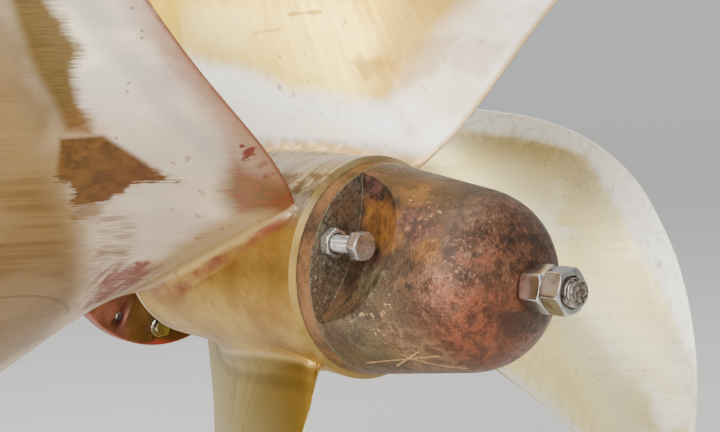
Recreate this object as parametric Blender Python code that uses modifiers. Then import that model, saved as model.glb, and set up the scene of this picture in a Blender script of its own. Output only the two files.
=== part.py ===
# Ship propeller on its tail shaft, with its boss cap and the stern bearing that it turns in.
# Metres. +X points aft along the shaft, +Y to starboard, +Z up. The origin is on the shaft
# axis, in the plane where the bearing flange bolts to the hull.

import math

import bmesh
import bpy
import numpy as np
from mathutils import Matrix

# Stern bearing, which stays still
FLANGE_RADIUS = 0.125
FLANGE_THICKNESS = 0.020
FLANGE_EDGE_ROUND = 0.0015
NOSE_RADIUS = 0.072
NOSE_LENGTH = 0.072
SPIGOT_RADIUS = 0.070
SPIGOT_LENGTH = 0.110
LINER_WALL = 0.008
BEARING_CLEARANCE = 0.0005
BOLT_COUNT = 6
BOLT_EDGE_DISTANCE = 0.022
BOLT_FIRST_ANGLE = math.radians(265)
BOLT_RADIUS = 0.006
BOLT_HEAD_ACROSS = 0.019
BOLT_HEAD_HEIGHT = 0.0075
BOLT_REACH = 0.030
WASHER_RADIUS = 0.012
WASHER_THICKNESS = 0.0025
JACKING_HOLE_RADIUS = 0.0068
JACKING_HOLE_ANGLES = (math.radians(235), math.radians(55))

# Tail shaft
SHAFT_RADIUS = 0.048
SHAFT_STUB = 0.025
SHAFT_TAPER = 1 / 24
SHAFT_THREAD_RADIUS = 0.030
SHAFT_THREAD_LENGTH = 0.062
SHAFT_NUT_ACROSS = 0.070
SHAFT_NUT_HEIGHT = 0.048
STUD_DEPTH_IN_SHAFT = 0.040

# Propeller hub
HUB_RUNNING_GAP = 0.008
HUB_LENGTH = 0.295
HUB_FRONT_RADIUS = 0.100
HUB_BACK_RADIUS = 0.105
HUB_FRONT_ROUND = 0.010
HUB_RIM_CHAMFER = 0.0043

# Propeller blades. Chord, pitch angle, skew angle and rake are given at the root, at one third
# and at two thirds of the span, and at the tip, and follow the cubic through these four. The
# tip chord is that of the outline before the tip is rounded off.
BLADE_COUNT = 4
PROPELLER_RADIUS = 0.610
ROOT_CHORD = 0.286
INNER_CHORD = 0.718
OUTER_CHORD = 0.815
TIP_CHORD = 0.892
TIP_ROUNDING_POWER = 5
TIP_FLAT = 0.050
PITCH_ANGLES = tuple(math.radians(a) for a in (69.0, 56.3, 49.1, 32.0))
SKEW_ANGLES = tuple(math.radians(a) for a in (172.3, 183.1, 172.2, 179.9))
ROOT_RAKE = -0.1524
INNER_RAKE = -0.2633
OUTER_RAKE = -0.2240
TIP_RAKE = -0.0912
BLADE_ROOT_THICKNESS = 0.040
BLADE_TIP_THICKNESS = 0.009
BLADE_EDGE_THICKNESS = 0.005
THINNING_POWER = 0.7
SECTION_FULLNESS = 1.5
AFT_SHARE = 0.15
BLADE_FILLET = 0.026
BLADE_ROOT_SUNK = 0.022

# Boss cap and what holds it
CAP_BASE_RADIUS = 0.0998
CAP_SHOULDER_RADIUS = 0.0797
CAP_SHOULDER = 0.1208
CAP_LENGTH = 0.1822
CAP_DOME_POWER = 2.5
CAP_SEAT_RADIUS = 0.024
CAP_LIP = 0.016
CAP_CAVITY_RADIUS = 0.043
CAP_CAVITY_DEPTH = 0.078
POCKET_ANGLES = (math.radians(157), math.radians(337))
POCKET_FLOOR_RADIUS = 0.052
POCKET_SWEEP_RADIUS = 0.170
POCKET_LENGTH = 0.084
POCKET_RISE = 0.034
LOCK_CIRCLE_RADIUS = 0.080
LOCK_SCREW_RADIUS = 0.008
LOCK_SCREW_ACROSS = 0.024
LOCK_HEAD_HEIGHT = 0.011
LOCK_HEAD_STANDOFF = 0.051
LOCK_SCREW_IN_HUB = 0.028
LOCK_NUT_HEIGHT = 0.010
STUD_RADIUS = 0.012
STUD_REACH = 0.229
CAP_NUT_ACROSS = 0.036
CAP_NUT_INNER_HEIGHT = 0.0215
CAP_NUT_OUTER_HEIGHT = 0.0190
CAP_NUT_INNER_TURN = math.radians(12)
CAP_NUT_OUTER_TURN = math.radians(42)

# Gap between pieces that touch, and between a thread and its hole
SEAT_GAP = 0.0003
CUTTER_OVERRUN = 0.010
STUD_CHAMFER = 0.002

# Facets round a turned piece, and steps along a curved outline. The hub's facets are turned a
# little, so that none of their edges runs exactly through an edge of a blade or of the bore.
FACET_TURN = math.radians(1.3)
POCKET_SEGMENTS = 96
LARGE_SEGMENTS = 64
ROUND_SEGMENTS = 48
SMALL_SEGMENTS = 20
SPAN_STEPS = 18
SPAN_CROWDING = 1.6
CHORD_STEPS = 14
ROUND_STEPS = 6
DOME_STEPS = 12
POCKET_STEPS = 8

# Places that follow from the sizes
BOLT_CIRCLE_RADIUS = FLANGE_RADIUS - BOLT_EDGE_DISTANCE
HUB_FRONT = FLANGE_THICKNESS + NOSE_LENGTH + HUB_RUNNING_GAP
HUB_BACK = HUB_FRONT + HUB_LENGTH
CAP_BASE = HUB_BACK + SEAT_GAP


def start_empty():
    for old in list(bpy.data.objects):
        bpy.data.objects.remove(old)


def new_collection(name):
    made = bpy.data.collections.new(name)
    bpy.context.scene.collection.children.link(made)
    return made


def new_material(name, colour, roughness, metallic):
    made = bpy.data.materials.new(name)
    made.use_nodes = True
    shader = made.node_tree.nodes["Principled BSDF"]
    shader.inputs["Base Color"].default_value = (*colour, 1)
    shader.inputs["Roughness"].default_value = roughness
    shader.inputs["Metallic"].default_value = metallic
    made.diffuse_color = (*colour, 1)
    return made


def place_along_shaft(obj, x, radius=0.0, angle=0.0, turn=0.0):
    """Lays a piece that is built along its own Z axis along the shaft."""
    obj.rotation_mode = "ZYX"
    obj.rotation_euler = (0, math.radians(90), 0)
    obj.location = (x, radius * math.cos(angle), radius * math.sin(angle))
    if turn:
        obj.data.transform(Matrix.Rotation(turn, 4, "Z"))


def add_object(name, mesh, material, parts, parent=None):
    obj = bpy.data.objects.new(name, mesh)
    parts.objects.link(obj)
    if material:
        mesh.materials.append(material)
    obj.parent = parent
    return obj


def turned_mesh(name, outline, closed):
    """Profile points (radius, height), listed down the outer side."""
    mesh = bpy.data.meshes.new(name)
    points = [(radius, 0, height) for radius, height in outline]
    edges = [(i, i + 1) for i in range(len(points) - 1)]
    if closed:
        edges.append((len(points) - 1, 0))
    mesh.from_pydata(points, edges, [])
    return mesh


def add_screw(obj, segments):
    spin = obj.modifiers.new("Turned", "SCREW")
    spin.axis = "Z"
    spin.steps = segments
    spin.render_steps = segments
    spin.use_merge_vertices = True
    spin.merge_threshold = 0.00001
    spin.use_smooth_shade = True


def turned_piece(name, outline, x, material, parts, parent=None, closed=False,
                 segments=ROUND_SEGMENTS, radius=0.0, angle=0.0, turn=0.0):
    mesh = turned_mesh(name, outline, closed)
    obj = add_object(name, mesh, material, parts, parent)
    add_screw(obj, segments)
    place_along_shaft(obj, x, radius, angle, turn)
    return obj


def prism_mesh(name, sides, radius, length, base=0.0):
    """A prism along Z from base to base + length, with the given corner radius."""
    shape = bmesh.new()
    bmesh.ops.create_cone(shape, cap_ends=True, segments=sides,
                          radius1=radius, radius2=radius, depth=length)
    bmesh.ops.translate(shape, verts=shape.verts, vec=(0, 0, base + length / 2))
    mesh = bpy.data.meshes.new(name)
    shape.to_mesh(mesh)
    shape.free()
    return mesh


def add_cutter(name, mesh, cutters):
    obj = bpy.data.objects.new(name, mesh)
    cutters.objects.link(obj)
    obj.hide_render = True
    obj.display_type = "WIRE"
    return obj


def round_cutter(name, radius, x, length, cutters, off_axis=0.0, angle=0.0,
                 segments=SMALL_SEGMENTS):
    """A cutter whose flats, not its corners, lie at the given radius."""
    corner = radius / math.cos(math.pi / segments)
    obj = add_cutter(name, prism_mesh(name, segments, corner, length), cutters)
    place_along_shaft(obj, x, off_axis, angle)
    return obj


def combine(obj, other, operation):
    step = obj.modifiers.new(other.name, "BOOLEAN")
    step.operation = operation
    step.solver = "EXACT"
    step.object = other


def corner_radius(across_flats):
    return across_flats / math.sqrt(3)


def cubic_law(stations, span):
    """The cubic through four values spaced evenly from root to tip."""
    nodes = np.linspace(0, 1, len(stations))
    total = np.zeros_like(span)
    for i, value in enumerate(stations):
        weight = np.ones_like(span)
        for j, other in enumerate(nodes):
            if j != i:
                weight = weight * (span - other) / (nodes[i] - other)
        total = total + value * weight
    return total


def blade_points(blade):
    """Rings of points up the blade, each wrapped on a cylinder about the shaft.

    A ring runs from the leading edge along the aft face to the trailing edge, and back along
    the forward face. The root ring is repeated inside the hub.
    """
    steps = np.linspace(0, 1, SPAN_STEPS)
    span = 1 - (1 - steps) ** SPAN_CROWDING
    radius = HUB_BACK_RADIUS + (PROPELLER_RADIUS - HUB_BACK_RADIUS) * span
    span = np.concatenate([[0.0], span])
    radius = np.concatenate([[HUB_BACK_RADIUS - BLADE_ROOT_SUNK], radius])
    outline = cubic_law((ROOT_CHORD, INNER_CHORD, OUTER_CHORD, TIP_CHORD), span)
    rounding = np.sqrt(np.clip(1 - span ** TIP_ROUNDING_POWER, 0, 1))
    chord = np.maximum(outline * rounding, TIP_FLAT)
    pitch = cubic_law(PITCH_ANGLES, span)
    skew = cubic_law(SKEW_ANGLES, span) - blade * 2 * math.pi / BLADE_COUNT
    rake = HUB_BACK + cubic_law((ROOT_RAKE, INNER_RAKE, OUTER_RAKE, TIP_RAKE), span)
    thinning = (BLADE_ROOT_THICKNESS - BLADE_TIP_THICKNESS) * span ** THINNING_POWER
    thickest = BLADE_ROOT_THICKNESS - thinning
    rise = np.clip((radius - HUB_BACK_RADIUS) / BLADE_FILLET, 0, 1)
    fillet = BLADE_FILLET * (1 - np.sqrt(1 - (1 - rise) ** 2))

    along = (1 - np.cos(np.linspace(0, math.pi, CHORD_STEPS))) / 2
    bulge = np.sqrt(np.clip(4 * along * (1 - along), 0, 1))
    half_edge = BLADE_EDGE_THICKNESS / 2
    extra = (thickest - BLADE_EDGE_THICKNESS)[:, None] * bulge ** SECTION_FULLNESS
    flare = fillet[:, None] * bulge
    aft = half_edge + AFT_SHARE * extra + flare
    forward = -half_edge - (1 - AFT_SHARE) * extra - flare
    chordwise = (along - 0.5) * chord[:, None]
    lead = -chord[:, None] / 2 - half_edge
    trail = chord[:, None] / 2 + half_edge
    middle = np.zeros_like(lead)
    run = np.hstack([lead, chordwise, trail, chordwise[:, ::-1]])
    rise_off = np.hstack([middle, aft, middle, forward[:, ::-1]])

    sine = np.sin(pitch)[:, None]
    cosine = np.cos(pitch)[:, None]
    x = rake[:, None] + run * sine + rise_off * cosine
    arc = -run * cosine + rise_off * sine
    angle = skew[:, None] + arc / radius[:, None]
    return np.stack([x, radius[:, None] * np.cos(angle), radius[:, None] * np.sin(angle)], axis=2)


def blade_mesh(name, blade):
    """A loft between unlike wing sections, closed at the root and at the tip."""
    rings = blade_points(blade)
    rows, columns = rings.shape[:2]
    index = np.arange(rows * columns).reshape(rows, columns)
    after = np.roll(index, -1, axis=1)
    sides = np.stack([index[:-1], after[:-1], after[1:], index[1:]], axis=2).reshape(-1, 4)
    faces = sides.tolist() + [index[0].tolist(), index[-1].tolist()]
    mesh = bpy.data.meshes.new(name)
    mesh.from_pydata(rings.reshape(-1, 3).tolist(), [], faces)
    shape = bmesh.new()
    shape.from_mesh(mesh)
    bmesh.ops.recalc_face_normals(shape, faces=shape.faces)
    shape.to_mesh(mesh)
    shape.free()
    return mesh


def build_propeller(parts, cutters, bronze, rotor):
    """Hub and blades, one casting, bored to the taper of the shaft."""
    corner = [(HUB_FRONT_RADIUS - HUB_FRONT_ROUND * (1 - math.cos(a)),
               HUB_FRONT_ROUND * (1 - math.sin(a)))
              for a in np.linspace(0, math.pi / 2, ROUND_STEPS)]
    outline = [(0, HUB_LENGTH), (CAP_BASE_RADIUS, HUB_LENGTH),
               (HUB_BACK_RADIUS, HUB_LENGTH - HUB_RIM_CHAMFER)]
    outline += corner + [(0, 0)]
    hub = turned_piece("propeller_casting", outline, HUB_FRONT, bronze, parts, rotor,
                       segments=LARGE_SEGMENTS, turn=FACET_TURN)
    for blade in range(BLADE_COUNT):
        name = f"blade_shape_{blade + 1}"
        combine(hub, add_cutter(name, blade_mesh(name, blade), cutters), "UNION")
    over = CUTTER_OVERRUN
    front_radius = SHAFT_RADIUS + SEAT_GAP
    bore = [(front_radius - SHAFT_TAPER * (HUB_LENGTH + over), HUB_LENGTH + over),
            (front_radius + SHAFT_TAPER * over, -over)]
    bore = [(0, HUB_LENGTH + over)] + bore + [(0, -over)]
    taper = turned_piece("taper_bore", bore, HUB_FRONT, None, cutters, segments=ROUND_SEGMENTS)
    taper.hide_render = True
    taper.display_type = "WIRE"
    combine(hub, taper, "DIFFERENCE")
    for i, angle in enumerate(POCKET_ANGLES):
        hole = round_cutter(f"lock_hole_{i + 1}", LOCK_SCREW_RADIUS + SEAT_GAP,
                            HUB_BACK - LOCK_SCREW_IN_HUB - SEAT_GAP,
                            LOCK_SCREW_IN_HUB + over, cutters, LOCK_CIRCLE_RADIUS, angle)
        combine(hub, hole, "DIFFERENCE")
    return hub


def cap_outline():
    """Straight taper, then a rounded dome that ends in a flat seat for the nut."""
    share = np.linspace(0, 1, DOME_STEPS)
    taper = (CAP_SHOULDER_RADIUS - CAP_BASE_RADIUS) / CAP_SHOULDER
    seat_share = (1 - (CAP_SEAT_RADIUS / CAP_SHOULDER_RADIUS) ** CAP_DOME_POWER)
    seat_share = seat_share ** (1 / CAP_DOME_POWER)
    along = np.sin(share * math.pi / 2) * seat_share
    height = CAP_SHOULDER + (CAP_LENGTH - CAP_SHOULDER) * along
    fall = (1 - along ** CAP_DOME_POWER) ** (1 / CAP_DOME_POWER)
    radius = (CAP_SHOULDER_RADIUS + taper * (height - CAP_SHOULDER)) * fall
    dome = list(zip(radius.tolist(), height.tolist()))
    top = dome[-1][1]
    return [(0, top)] + dome[::-1] + [(CAP_BASE_RADIUS, 0), (0, 0)], top


def pocket_outline():
    """Half section of the milled hollow, whose floor curves up to the cap's surface."""
    share = np.linspace(1, 0, POCKET_STEPS)
    height = share * POCKET_LENGTH
    radius = POCKET_SWEEP_RADIUS - POCKET_RISE * share ** 2
    return [(0, POCKET_LENGTH)] + list(zip(radius.tolist(), height.tolist())) + [(0, 0)]


def build_cap(parts, cutters, metal, rotor):
    outline, top = cap_outline()
    over = CUTTER_OVERRUN
    cap = turned_piece("boss_cap", outline, CAP_BASE, metal, parts, rotor,
                       segments=LARGE_SEGMENTS)
    cavity = round_cutter("cap_cavity", CAP_CAVITY_RADIUS, CAP_BASE - over,
                          CAP_CAVITY_DEPTH + over, cutters, segments=ROUND_SEGMENTS)
    combine(cap, cavity, "DIFFERENCE")
    stud_hole = round_cutter("stud_hole", STUD_RADIUS + SEAT_GAP, CAP_BASE,
                             CAP_LENGTH + over, cutters)
    combine(cap, stud_hole, "DIFFERENCE")
    for i, angle in enumerate(POCKET_ANGLES):
        sweep = turned_piece(f"pocket_{i + 1}", pocket_outline(), CAP_BASE + CAP_LIP, None,
                             cutters, segments=POCKET_SEGMENTS,
                             radius=POCKET_FLOOR_RADIUS + POCKET_SWEEP_RADIUS, angle=angle)
        sweep.hide_render = True
        sweep.display_type = "WIRE"
        combine(cap, sweep, "DIFFERENCE")
        hole = round_cutter(f"lip_hole_{i + 1}", LOCK_SCREW_RADIUS + SEAT_GAP,
                            CAP_BASE - over, CAP_LIP + 2 * over, cutters,
                            LOCK_CIRCLE_RADIUS, angle)
        combine(cap, hole, "DIFFERENCE")
    return top


def nut(name, across, height, hole_radius, x, material, parts, cutters, parent,
        off_axis=0.0, angle=0.0, turn=0.0):
    mesh = prism_mesh(name, 6, corner_radius(across), height)
    obj = add_object(name, mesh, material, parts, parent)
    place_along_shaft(obj, x, off_axis, angle, turn)
    hole = round_cutter(f"{name}_hole", hole_radius, x - height, height * 3, cutters,
                        off_axis, angle)
    combine(obj, hole, "DIFFERENCE")
    return obj


def hex_screw(name, radius, length, across, head_height, x, material, parts, cutters, parent,
              off_axis, angle, turn=0.0):
    """Shank from x towards the stern, with its head on the aft end."""
    shank_mesh = prism_mesh(name, SMALL_SEGMENTS, radius, length + head_height / 2)
    shank = add_object(name, shank_mesh, material, parts, parent)
    place_along_shaft(shank, x, off_axis, angle)
    head_mesh = prism_mesh(f"{name}_head", 6, corner_radius(across), head_height)
    head = add_cutter(head_mesh.name, head_mesh, cutters)
    place_along_shaft(head, x + length, off_axis, angle, turn)
    combine(shank, head, "UNION")
    return shank


def build_cap_fasteners(parts, cutters, steel, rotor, cap_top):
    stud_start = HUB_BACK + SHAFT_THREAD_LENGTH - STUD_DEPTH_IN_SHAFT + SEAT_GAP
    stud_end = HUB_BACK + STUD_REACH
    length = stud_end - stud_start
    outline = [(0, length), (STUD_RADIUS - STUD_CHAMFER, length),
               (STUD_RADIUS, length - STUD_CHAMFER), (STUD_RADIUS, 0), (0, 0)]
    turned_piece("cap_stud", outline, stud_start, steel, parts, rotor, segments=SMALL_SEGMENTS)
    inner = CAP_BASE + cap_top + SEAT_GAP
    outer = inner + CAP_NUT_INNER_HEIGHT + SEAT_GAP
    nut("cap_nut_inner", CAP_NUT_ACROSS, CAP_NUT_INNER_HEIGHT, STUD_RADIUS + SEAT_GAP, inner,
        steel, parts, cutters, rotor, turn=CAP_NUT_INNER_TURN)
    nut("cap_nut_outer", CAP_NUT_ACROSS, CAP_NUT_OUTER_HEIGHT, STUD_RADIUS + SEAT_GAP, outer,
        steel, parts, cutters, rotor, turn=CAP_NUT_OUTER_TURN)
    screw_start = HUB_BACK - LOCK_SCREW_IN_HUB
    screw_length = LOCK_SCREW_IN_HUB + LOCK_HEAD_STANDOFF
    for i, angle in enumerate(POCKET_ANGLES):
        hex_screw(f"lock_screw_{i + 1}", LOCK_SCREW_RADIUS, screw_length, LOCK_SCREW_ACROSS,
                  LOCK_HEAD_HEIGHT, screw_start, steel, parts, cutters, rotor,
                  LOCK_CIRCLE_RADIUS, angle)
        nut(f"lock_nut_{i + 1}", LOCK_SCREW_ACROSS, LOCK_NUT_HEIGHT,
            LOCK_SCREW_RADIUS + SEAT_GAP, CAP_BASE + CAP_LIP + SEAT_GAP, steel, parts, cutters,
            rotor, LOCK_CIRCLE_RADIUS, angle)


def build_shaft(parts, cutters, steel, rotor):
    front = SPIGOT_LENGTH + SHAFT_STUB
    small = SHAFT_RADIUS - SHAFT_TAPER * HUB_LENGTH
    thread_end = HUB_BACK + SHAFT_THREAD_LENGTH
    thread_start = HUB_BACK - SEAT_GAP
    outline = [(0, thread_end + front), (SHAFT_THREAD_RADIUS, thread_end + front),
               (SHAFT_THREAD_RADIUS, thread_start + front), (small, thread_start + front),
               (SHAFT_RADIUS, HUB_FRONT + front), (SHAFT_RADIUS, 0), (0, 0)]
    shaft = turned_piece("tail_shaft", outline, -front, steel, parts, rotor)
    hole = round_cutter("stud_socket", STUD_RADIUS + SEAT_GAP,
                        thread_end - STUD_DEPTH_IN_SHAFT,
                        STUD_DEPTH_IN_SHAFT + CUTTER_OVERRUN, cutters)
    combine(shaft, hole, "DIFFERENCE")
    nut("shaft_nut", SHAFT_NUT_ACROSS, SHAFT_NUT_HEIGHT, SHAFT_THREAD_RADIUS + SEAT_GAP,
        HUB_BACK + SEAT_GAP, steel, parts, cutters, rotor)


def build_bearing(parts, cutters, bronze, liner_metal, steel):
    """Flanged housing with its lining, bolts, washers and jacking holes."""
    total = SPIGOT_LENGTH + FLANGE_THICKNESS + NOSE_LENGTH
    bore = SHAFT_RADIUS + BEARING_CLEARANCE
    housing_bore = bore + LINER_WALL + SEAT_GAP
    back = SPIGOT_LENGTH + FLANGE_THICKNESS
    edge = FLANGE_EDGE_ROUND
    outline = [(housing_bore, total), (NOSE_RADIUS - edge, total), (NOSE_RADIUS, total - edge),
               (NOSE_RADIUS, back), (FLANGE_RADIUS - edge, back),
               (FLANGE_RADIUS, back - edge), (FLANGE_RADIUS, SPIGOT_LENGTH),
               (SPIGOT_RADIUS, SPIGOT_LENGTH), (SPIGOT_RADIUS, 0), (housing_bore, 0)]
    housing = turned_piece("stern_bearing_housing", outline, -SPIGOT_LENGTH, bronze, parts,
                           closed=True, segments=LARGE_SEGMENTS)
    liner = [(bore, total), (bore + LINER_WALL, total), (bore + LINER_WALL, 0), (bore, 0)]
    turned_piece("bearing_liner", liner, -SPIGOT_LENGTH, liner_metal, parts, closed=True)
    over = CUTTER_OVERRUN
    for i in range(BOLT_COUNT):
        angle = BOLT_FIRST_ANGLE + i * 2 * math.pi / BOLT_COUNT
        hole = round_cutter(f"bolt_hole_{i + 1}", BOLT_RADIUS + SEAT_GAP, -over,
                            FLANGE_THICKNESS + 2 * over, cutters, BOLT_CIRCLE_RADIUS, angle)
        combine(housing, hole, "DIFFERENCE")
        washer_start = FLANGE_THICKNESS + SEAT_GAP
        washer = [(BOLT_RADIUS + SEAT_GAP, WASHER_THICKNESS), (WASHER_RADIUS, WASHER_THICKNESS),
                  (WASHER_RADIUS, 0), (BOLT_RADIUS + SEAT_GAP, 0)]
        turned_piece(f"flange_washer_{i + 1}", washer, washer_start, steel, parts, closed=True,
                     segments=SMALL_SEGMENTS, radius=BOLT_CIRCLE_RADIUS, angle=angle)
        head_seat = washer_start + WASHER_THICKNESS + SEAT_GAP
        hex_screw(f"flange_bolt_{i + 1}", BOLT_RADIUS, BOLT_REACH + head_seat, BOLT_HEAD_ACROSS,
                  BOLT_HEAD_HEIGHT, -BOLT_REACH, steel, parts, cutters, None,
                  BOLT_CIRCLE_RADIUS, angle, turn=angle)
    for i, angle in enumerate(JACKING_HOLE_ANGLES):
        hole = round_cutter(f"jacking_hole_{i + 1}", JACKING_HOLE_RADIUS, -over,
                            FLANGE_THICKNESS + 2 * over, cutters, BOLT_CIRCLE_RADIUS, angle)
        combine(housing, hole, "DIFFERENCE")


def main():
    start_empty()
    parts = new_collection("ship_propeller")
    cutters = new_collection("cutters")
    blade_bronze = new_material("blade_bronze", (0.72, 0.60, 0.33), 0.32, 1.0)
    cap_bronze = new_material("cap_bronze", (0.36, 0.19, 0.11), 0.50, 1.0)
    bearing_bronze = new_material("bearing_bronze", (0.45, 0.32, 0.17), 0.50, 1.0)
    stainless = new_material("stainless_steel", (0.70, 0.69, 0.67), 0.25, 1.0)
    shaft_steel = new_material("shaft_steel", (0.55, 0.54, 0.52), 0.35, 1.0)
    lining = new_material("bearing_lining", (0.05, 0.05, 0.05), 0.60, 0.0)
    rotor = bpy.data.objects.new("rotor", None)
    parts.objects.link(rotor)
    build_propeller(parts, cutters, blade_bronze, rotor)
    cap_top = build_cap(parts, cutters, cap_bronze, rotor)
    build_cap_fasteners(parts, cutters, stainless, rotor, cap_top)
    build_shaft(parts, cutters, shaft_steel, rotor)
    build_bearing(parts, cutters, bearing_bronze, lining, stainless)


main()
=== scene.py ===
"""Ship propeller with its boss cap and stern bearing: the finish of every surface.

Metres. +X points aft along the shaft, +Y to starboard and +Z up. Each section makes one piece,
in the order in which the propeller is put together, from the bearing in the hull to the nuts
on the end of the cap.
"""

import math
from functools import partial

import bmesh
import bpy
import numpy as np
from mathutils import Matrix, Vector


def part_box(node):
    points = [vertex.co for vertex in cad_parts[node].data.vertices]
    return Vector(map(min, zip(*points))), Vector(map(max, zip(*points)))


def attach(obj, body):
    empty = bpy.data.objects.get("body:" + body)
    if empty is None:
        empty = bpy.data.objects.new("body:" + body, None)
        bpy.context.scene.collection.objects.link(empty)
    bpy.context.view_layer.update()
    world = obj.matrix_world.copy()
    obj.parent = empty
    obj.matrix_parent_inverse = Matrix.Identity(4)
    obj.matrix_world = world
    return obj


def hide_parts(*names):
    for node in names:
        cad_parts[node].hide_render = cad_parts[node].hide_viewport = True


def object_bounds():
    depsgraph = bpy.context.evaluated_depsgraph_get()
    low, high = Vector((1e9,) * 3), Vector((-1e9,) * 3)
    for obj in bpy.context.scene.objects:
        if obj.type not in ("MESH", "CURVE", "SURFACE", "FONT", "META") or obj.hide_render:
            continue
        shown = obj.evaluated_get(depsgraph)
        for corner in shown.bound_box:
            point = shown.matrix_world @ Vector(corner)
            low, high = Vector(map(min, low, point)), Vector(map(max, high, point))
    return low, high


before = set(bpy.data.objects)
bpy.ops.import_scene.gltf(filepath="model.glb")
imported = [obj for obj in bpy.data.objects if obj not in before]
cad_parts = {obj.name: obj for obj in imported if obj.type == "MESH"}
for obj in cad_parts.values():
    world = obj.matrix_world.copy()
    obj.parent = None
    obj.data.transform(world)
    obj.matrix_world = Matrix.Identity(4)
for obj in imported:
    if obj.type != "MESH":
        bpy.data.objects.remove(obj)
cad_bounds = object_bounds()

# Stern bearing housing. A gunmetal casting turned to a flange that bolts to the hull, a short
# nose behind it and a spigot in front that fits the bore in the hull. Its face has gone brown,
# with olive patches, and red bottom paint has been splashed over its lower edge.

SEAT_GAP = 0.0003
housing_low, housing_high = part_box("stern_bearing_housing")
liner_low, liner_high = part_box("bearing_liner")
washer_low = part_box("flange_washer_1")[0]
FLANGE_RADIUS = housing_high.z
FLANGE_BACK = washer_low.x - SEAT_GAP
NOSE_RADIUS = 0.072
SPIGOT_RADIUS = 0.070
HOUSING_BORE = liner_high.z + SEAT_GAP
FLANGE_HOLE_RADIUS = 0.0063
JACKING_HOLE_RADIUS = 0.0068
JACKING_HOLE_ANGLES = (math.radians(235), math.radians(55))
BOLTS = range(1, 7)
CASTING_EDGE = 0.0015
EASE_STEPS = 4
HOUSING_SIDES = 192
PLUG_SIDES = 64


class Value:
    """A socket of a shader. Python's operators on it add Math nodes, and node adds any other."""

    def __init__(self, socket):
        self.socket = socket

    def node(self, kind, settings=(), sockets=(), output=0):
        """Adds a node of a kind: its settings first, then its sockets' values or links."""
        tree = self.socket.id_data
        made = tree.nodes.new(kind)
        for name, setting in dict(settings).items():
            setattr(made, name, setting)
        for key, value in dict(sockets).items():
            if isinstance(value, Value):
                tree.links.new(value.socket, made.inputs[key])
            else:
                made.inputs[key].default_value = value
        return Value(made.outputs[output])

    def math(self, operation, *values):
        return self.node("ShaderNodeMath", {"operation": operation}, enumerate(values))

    def __add__(self, other):
        return self.math("ADD", self, other)

    __radd__ = __add__

    def __sub__(self, other):
        return self.math("SUBTRACT", self, other)

    def __rsub__(self, other):
        return self.math("SUBTRACT", other, self)

    def __mul__(self, other):
        return self.math("MULTIPLY", self, other)

    __rmul__ = __mul__

    def __pow__(self, other):
        return self.math("POWER", self, other)

    def __neg__(self):
        return self * -1

    def __abs__(self):
        return self.math("ABSOLUTE", self)


def smooth(value, low, high):
    """0 where the value is below low and 1 above high, with a smooth step between them."""
    return value.node("ShaderNodeMapRange", {"interpolation_type": "SMOOTHSTEP"},
                      {"Value": value, "From Min": low, "From Max": high})


def fade(value, low, high):
    """1 where the value is below low and 0 above high, with a smooth step between them."""
    return 1 - smooth(value, low, high)


def vector(x, y, z):
    return x.node("ShaderNodeCombineXYZ", {}, {"X": x, "Y": y, "Z": z})


def noise(place, scale, detail=3.0, roughness=0.55, distortion=0.0):
    return place.node("ShaderNodeTexNoise", {},
                      {"Vector": place, "Scale": scale, "Detail": detail,
                       "Roughness": roughness, "Distortion": distortion})


def attribute(place, name, output=2):
    """What the mesh keeps under that name, from output 2 as a number and from 1 as a vector."""
    return place.node("ShaderNodeAttribute", {"attribute_name": name}, output=output)


def colour(red, green, blue):
    """A colour as a screen shows it, 0 to 255, turned to the light that it stands for."""
    levels = np.array([red, green, blue]) / 255
    light = np.where(levels < 0.04045, levels / 12.92, ((levels + 0.055) / 1.055) ** 2.4)
    return (*light.tolist(), 1.0)


def tint(mask, below, above):
    """The colour below, changed to the colour above where the mask is 1. Each is a socket or
    three levels as a screen shows them."""
    below, above = (c if isinstance(c, Value) else colour(*c) for c in (below, above))
    return mask.node("ShaderNodeMix", {"data_type": "RGBA"}, {0: mask, 6: below, 7: above}, output=2)


def blend(value, low, high, below, above):
    """One colour where the value is below low, and the other where it is above high."""
    return tint(smooth(value, low, high), below, above)


def layers(base, *coats):
    """A base colour with coats laid over it in turn, each a mask and its colour."""
    for mask, above in coats:
        base = tint(mask, base, above)
    return base


def bump(height, strength, distance):
    return height.node("ShaderNodeBump", {},
                       {"Height": height, "Strength": strength, "Distance": distance})


def region(spot, corners, soft, ragged=0.0):
    """A mask with straight sides round the corners (a, b): the least of the distances to the
    sides, turned to a step of the width soft, all in millimetres. The spot is the vector
    (a, b, 1) in metres, so that one dot product gives each distance, and a ragged value moves
    the sides in and out."""
    points = np.array(corners, float) / 1000
    sides = np.roll(points, -1, axis=0) - points
    across = np.stack([-sides[:, 1], sides[:, 0]], axis=1)
    across /= np.linalg.norm(sides, axis=1)[:, None]
    middle_point = points.mean(axis=0)
    facing = np.sign(((middle_point - points) * across).sum(axis=1))[:, None]
    across = across * facing
    inside = None
    for normal, offset in zip(across, -(across * points).sum(axis=1)):
        distance = spot.node("ShaderNodeVectorMath", {"operation": "DOT_PRODUCT"},
                             {0: spot, 1: (*normal, offset)}, output=1)
        inside = distance if inside is None else inside.math("MINIMUM", inside, distance)
    return smooth(inside + ragged, -soft / 2000, soft / 2000)


def either(*masks):
    """The greatest of several masks."""
    joined = masks[0]
    for mask in masks[1:]:
        joined = joined.math("MAXIMUM", joined, mask)
    return joined


def specks(spot, places, radius):
    """Round spots of a radius at the places (a, b), in millimetres."""
    nearest = None
    for a, b in places:
        distance = spot.node("ShaderNodeVectorMath", {"operation": "DISTANCE"},
                             {0: spot, 1: (a / 1000, b / 1000, 1)}, output=1)
        nearest = distance if nearest is None else nearest.math("MINIMUM", nearest, distance)
    return fade(nearest, radius / 2000, radius / 1000)


def round_angles(count):
    return np.linspace(0, 2 * math.pi, count, endpoint=False)


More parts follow.
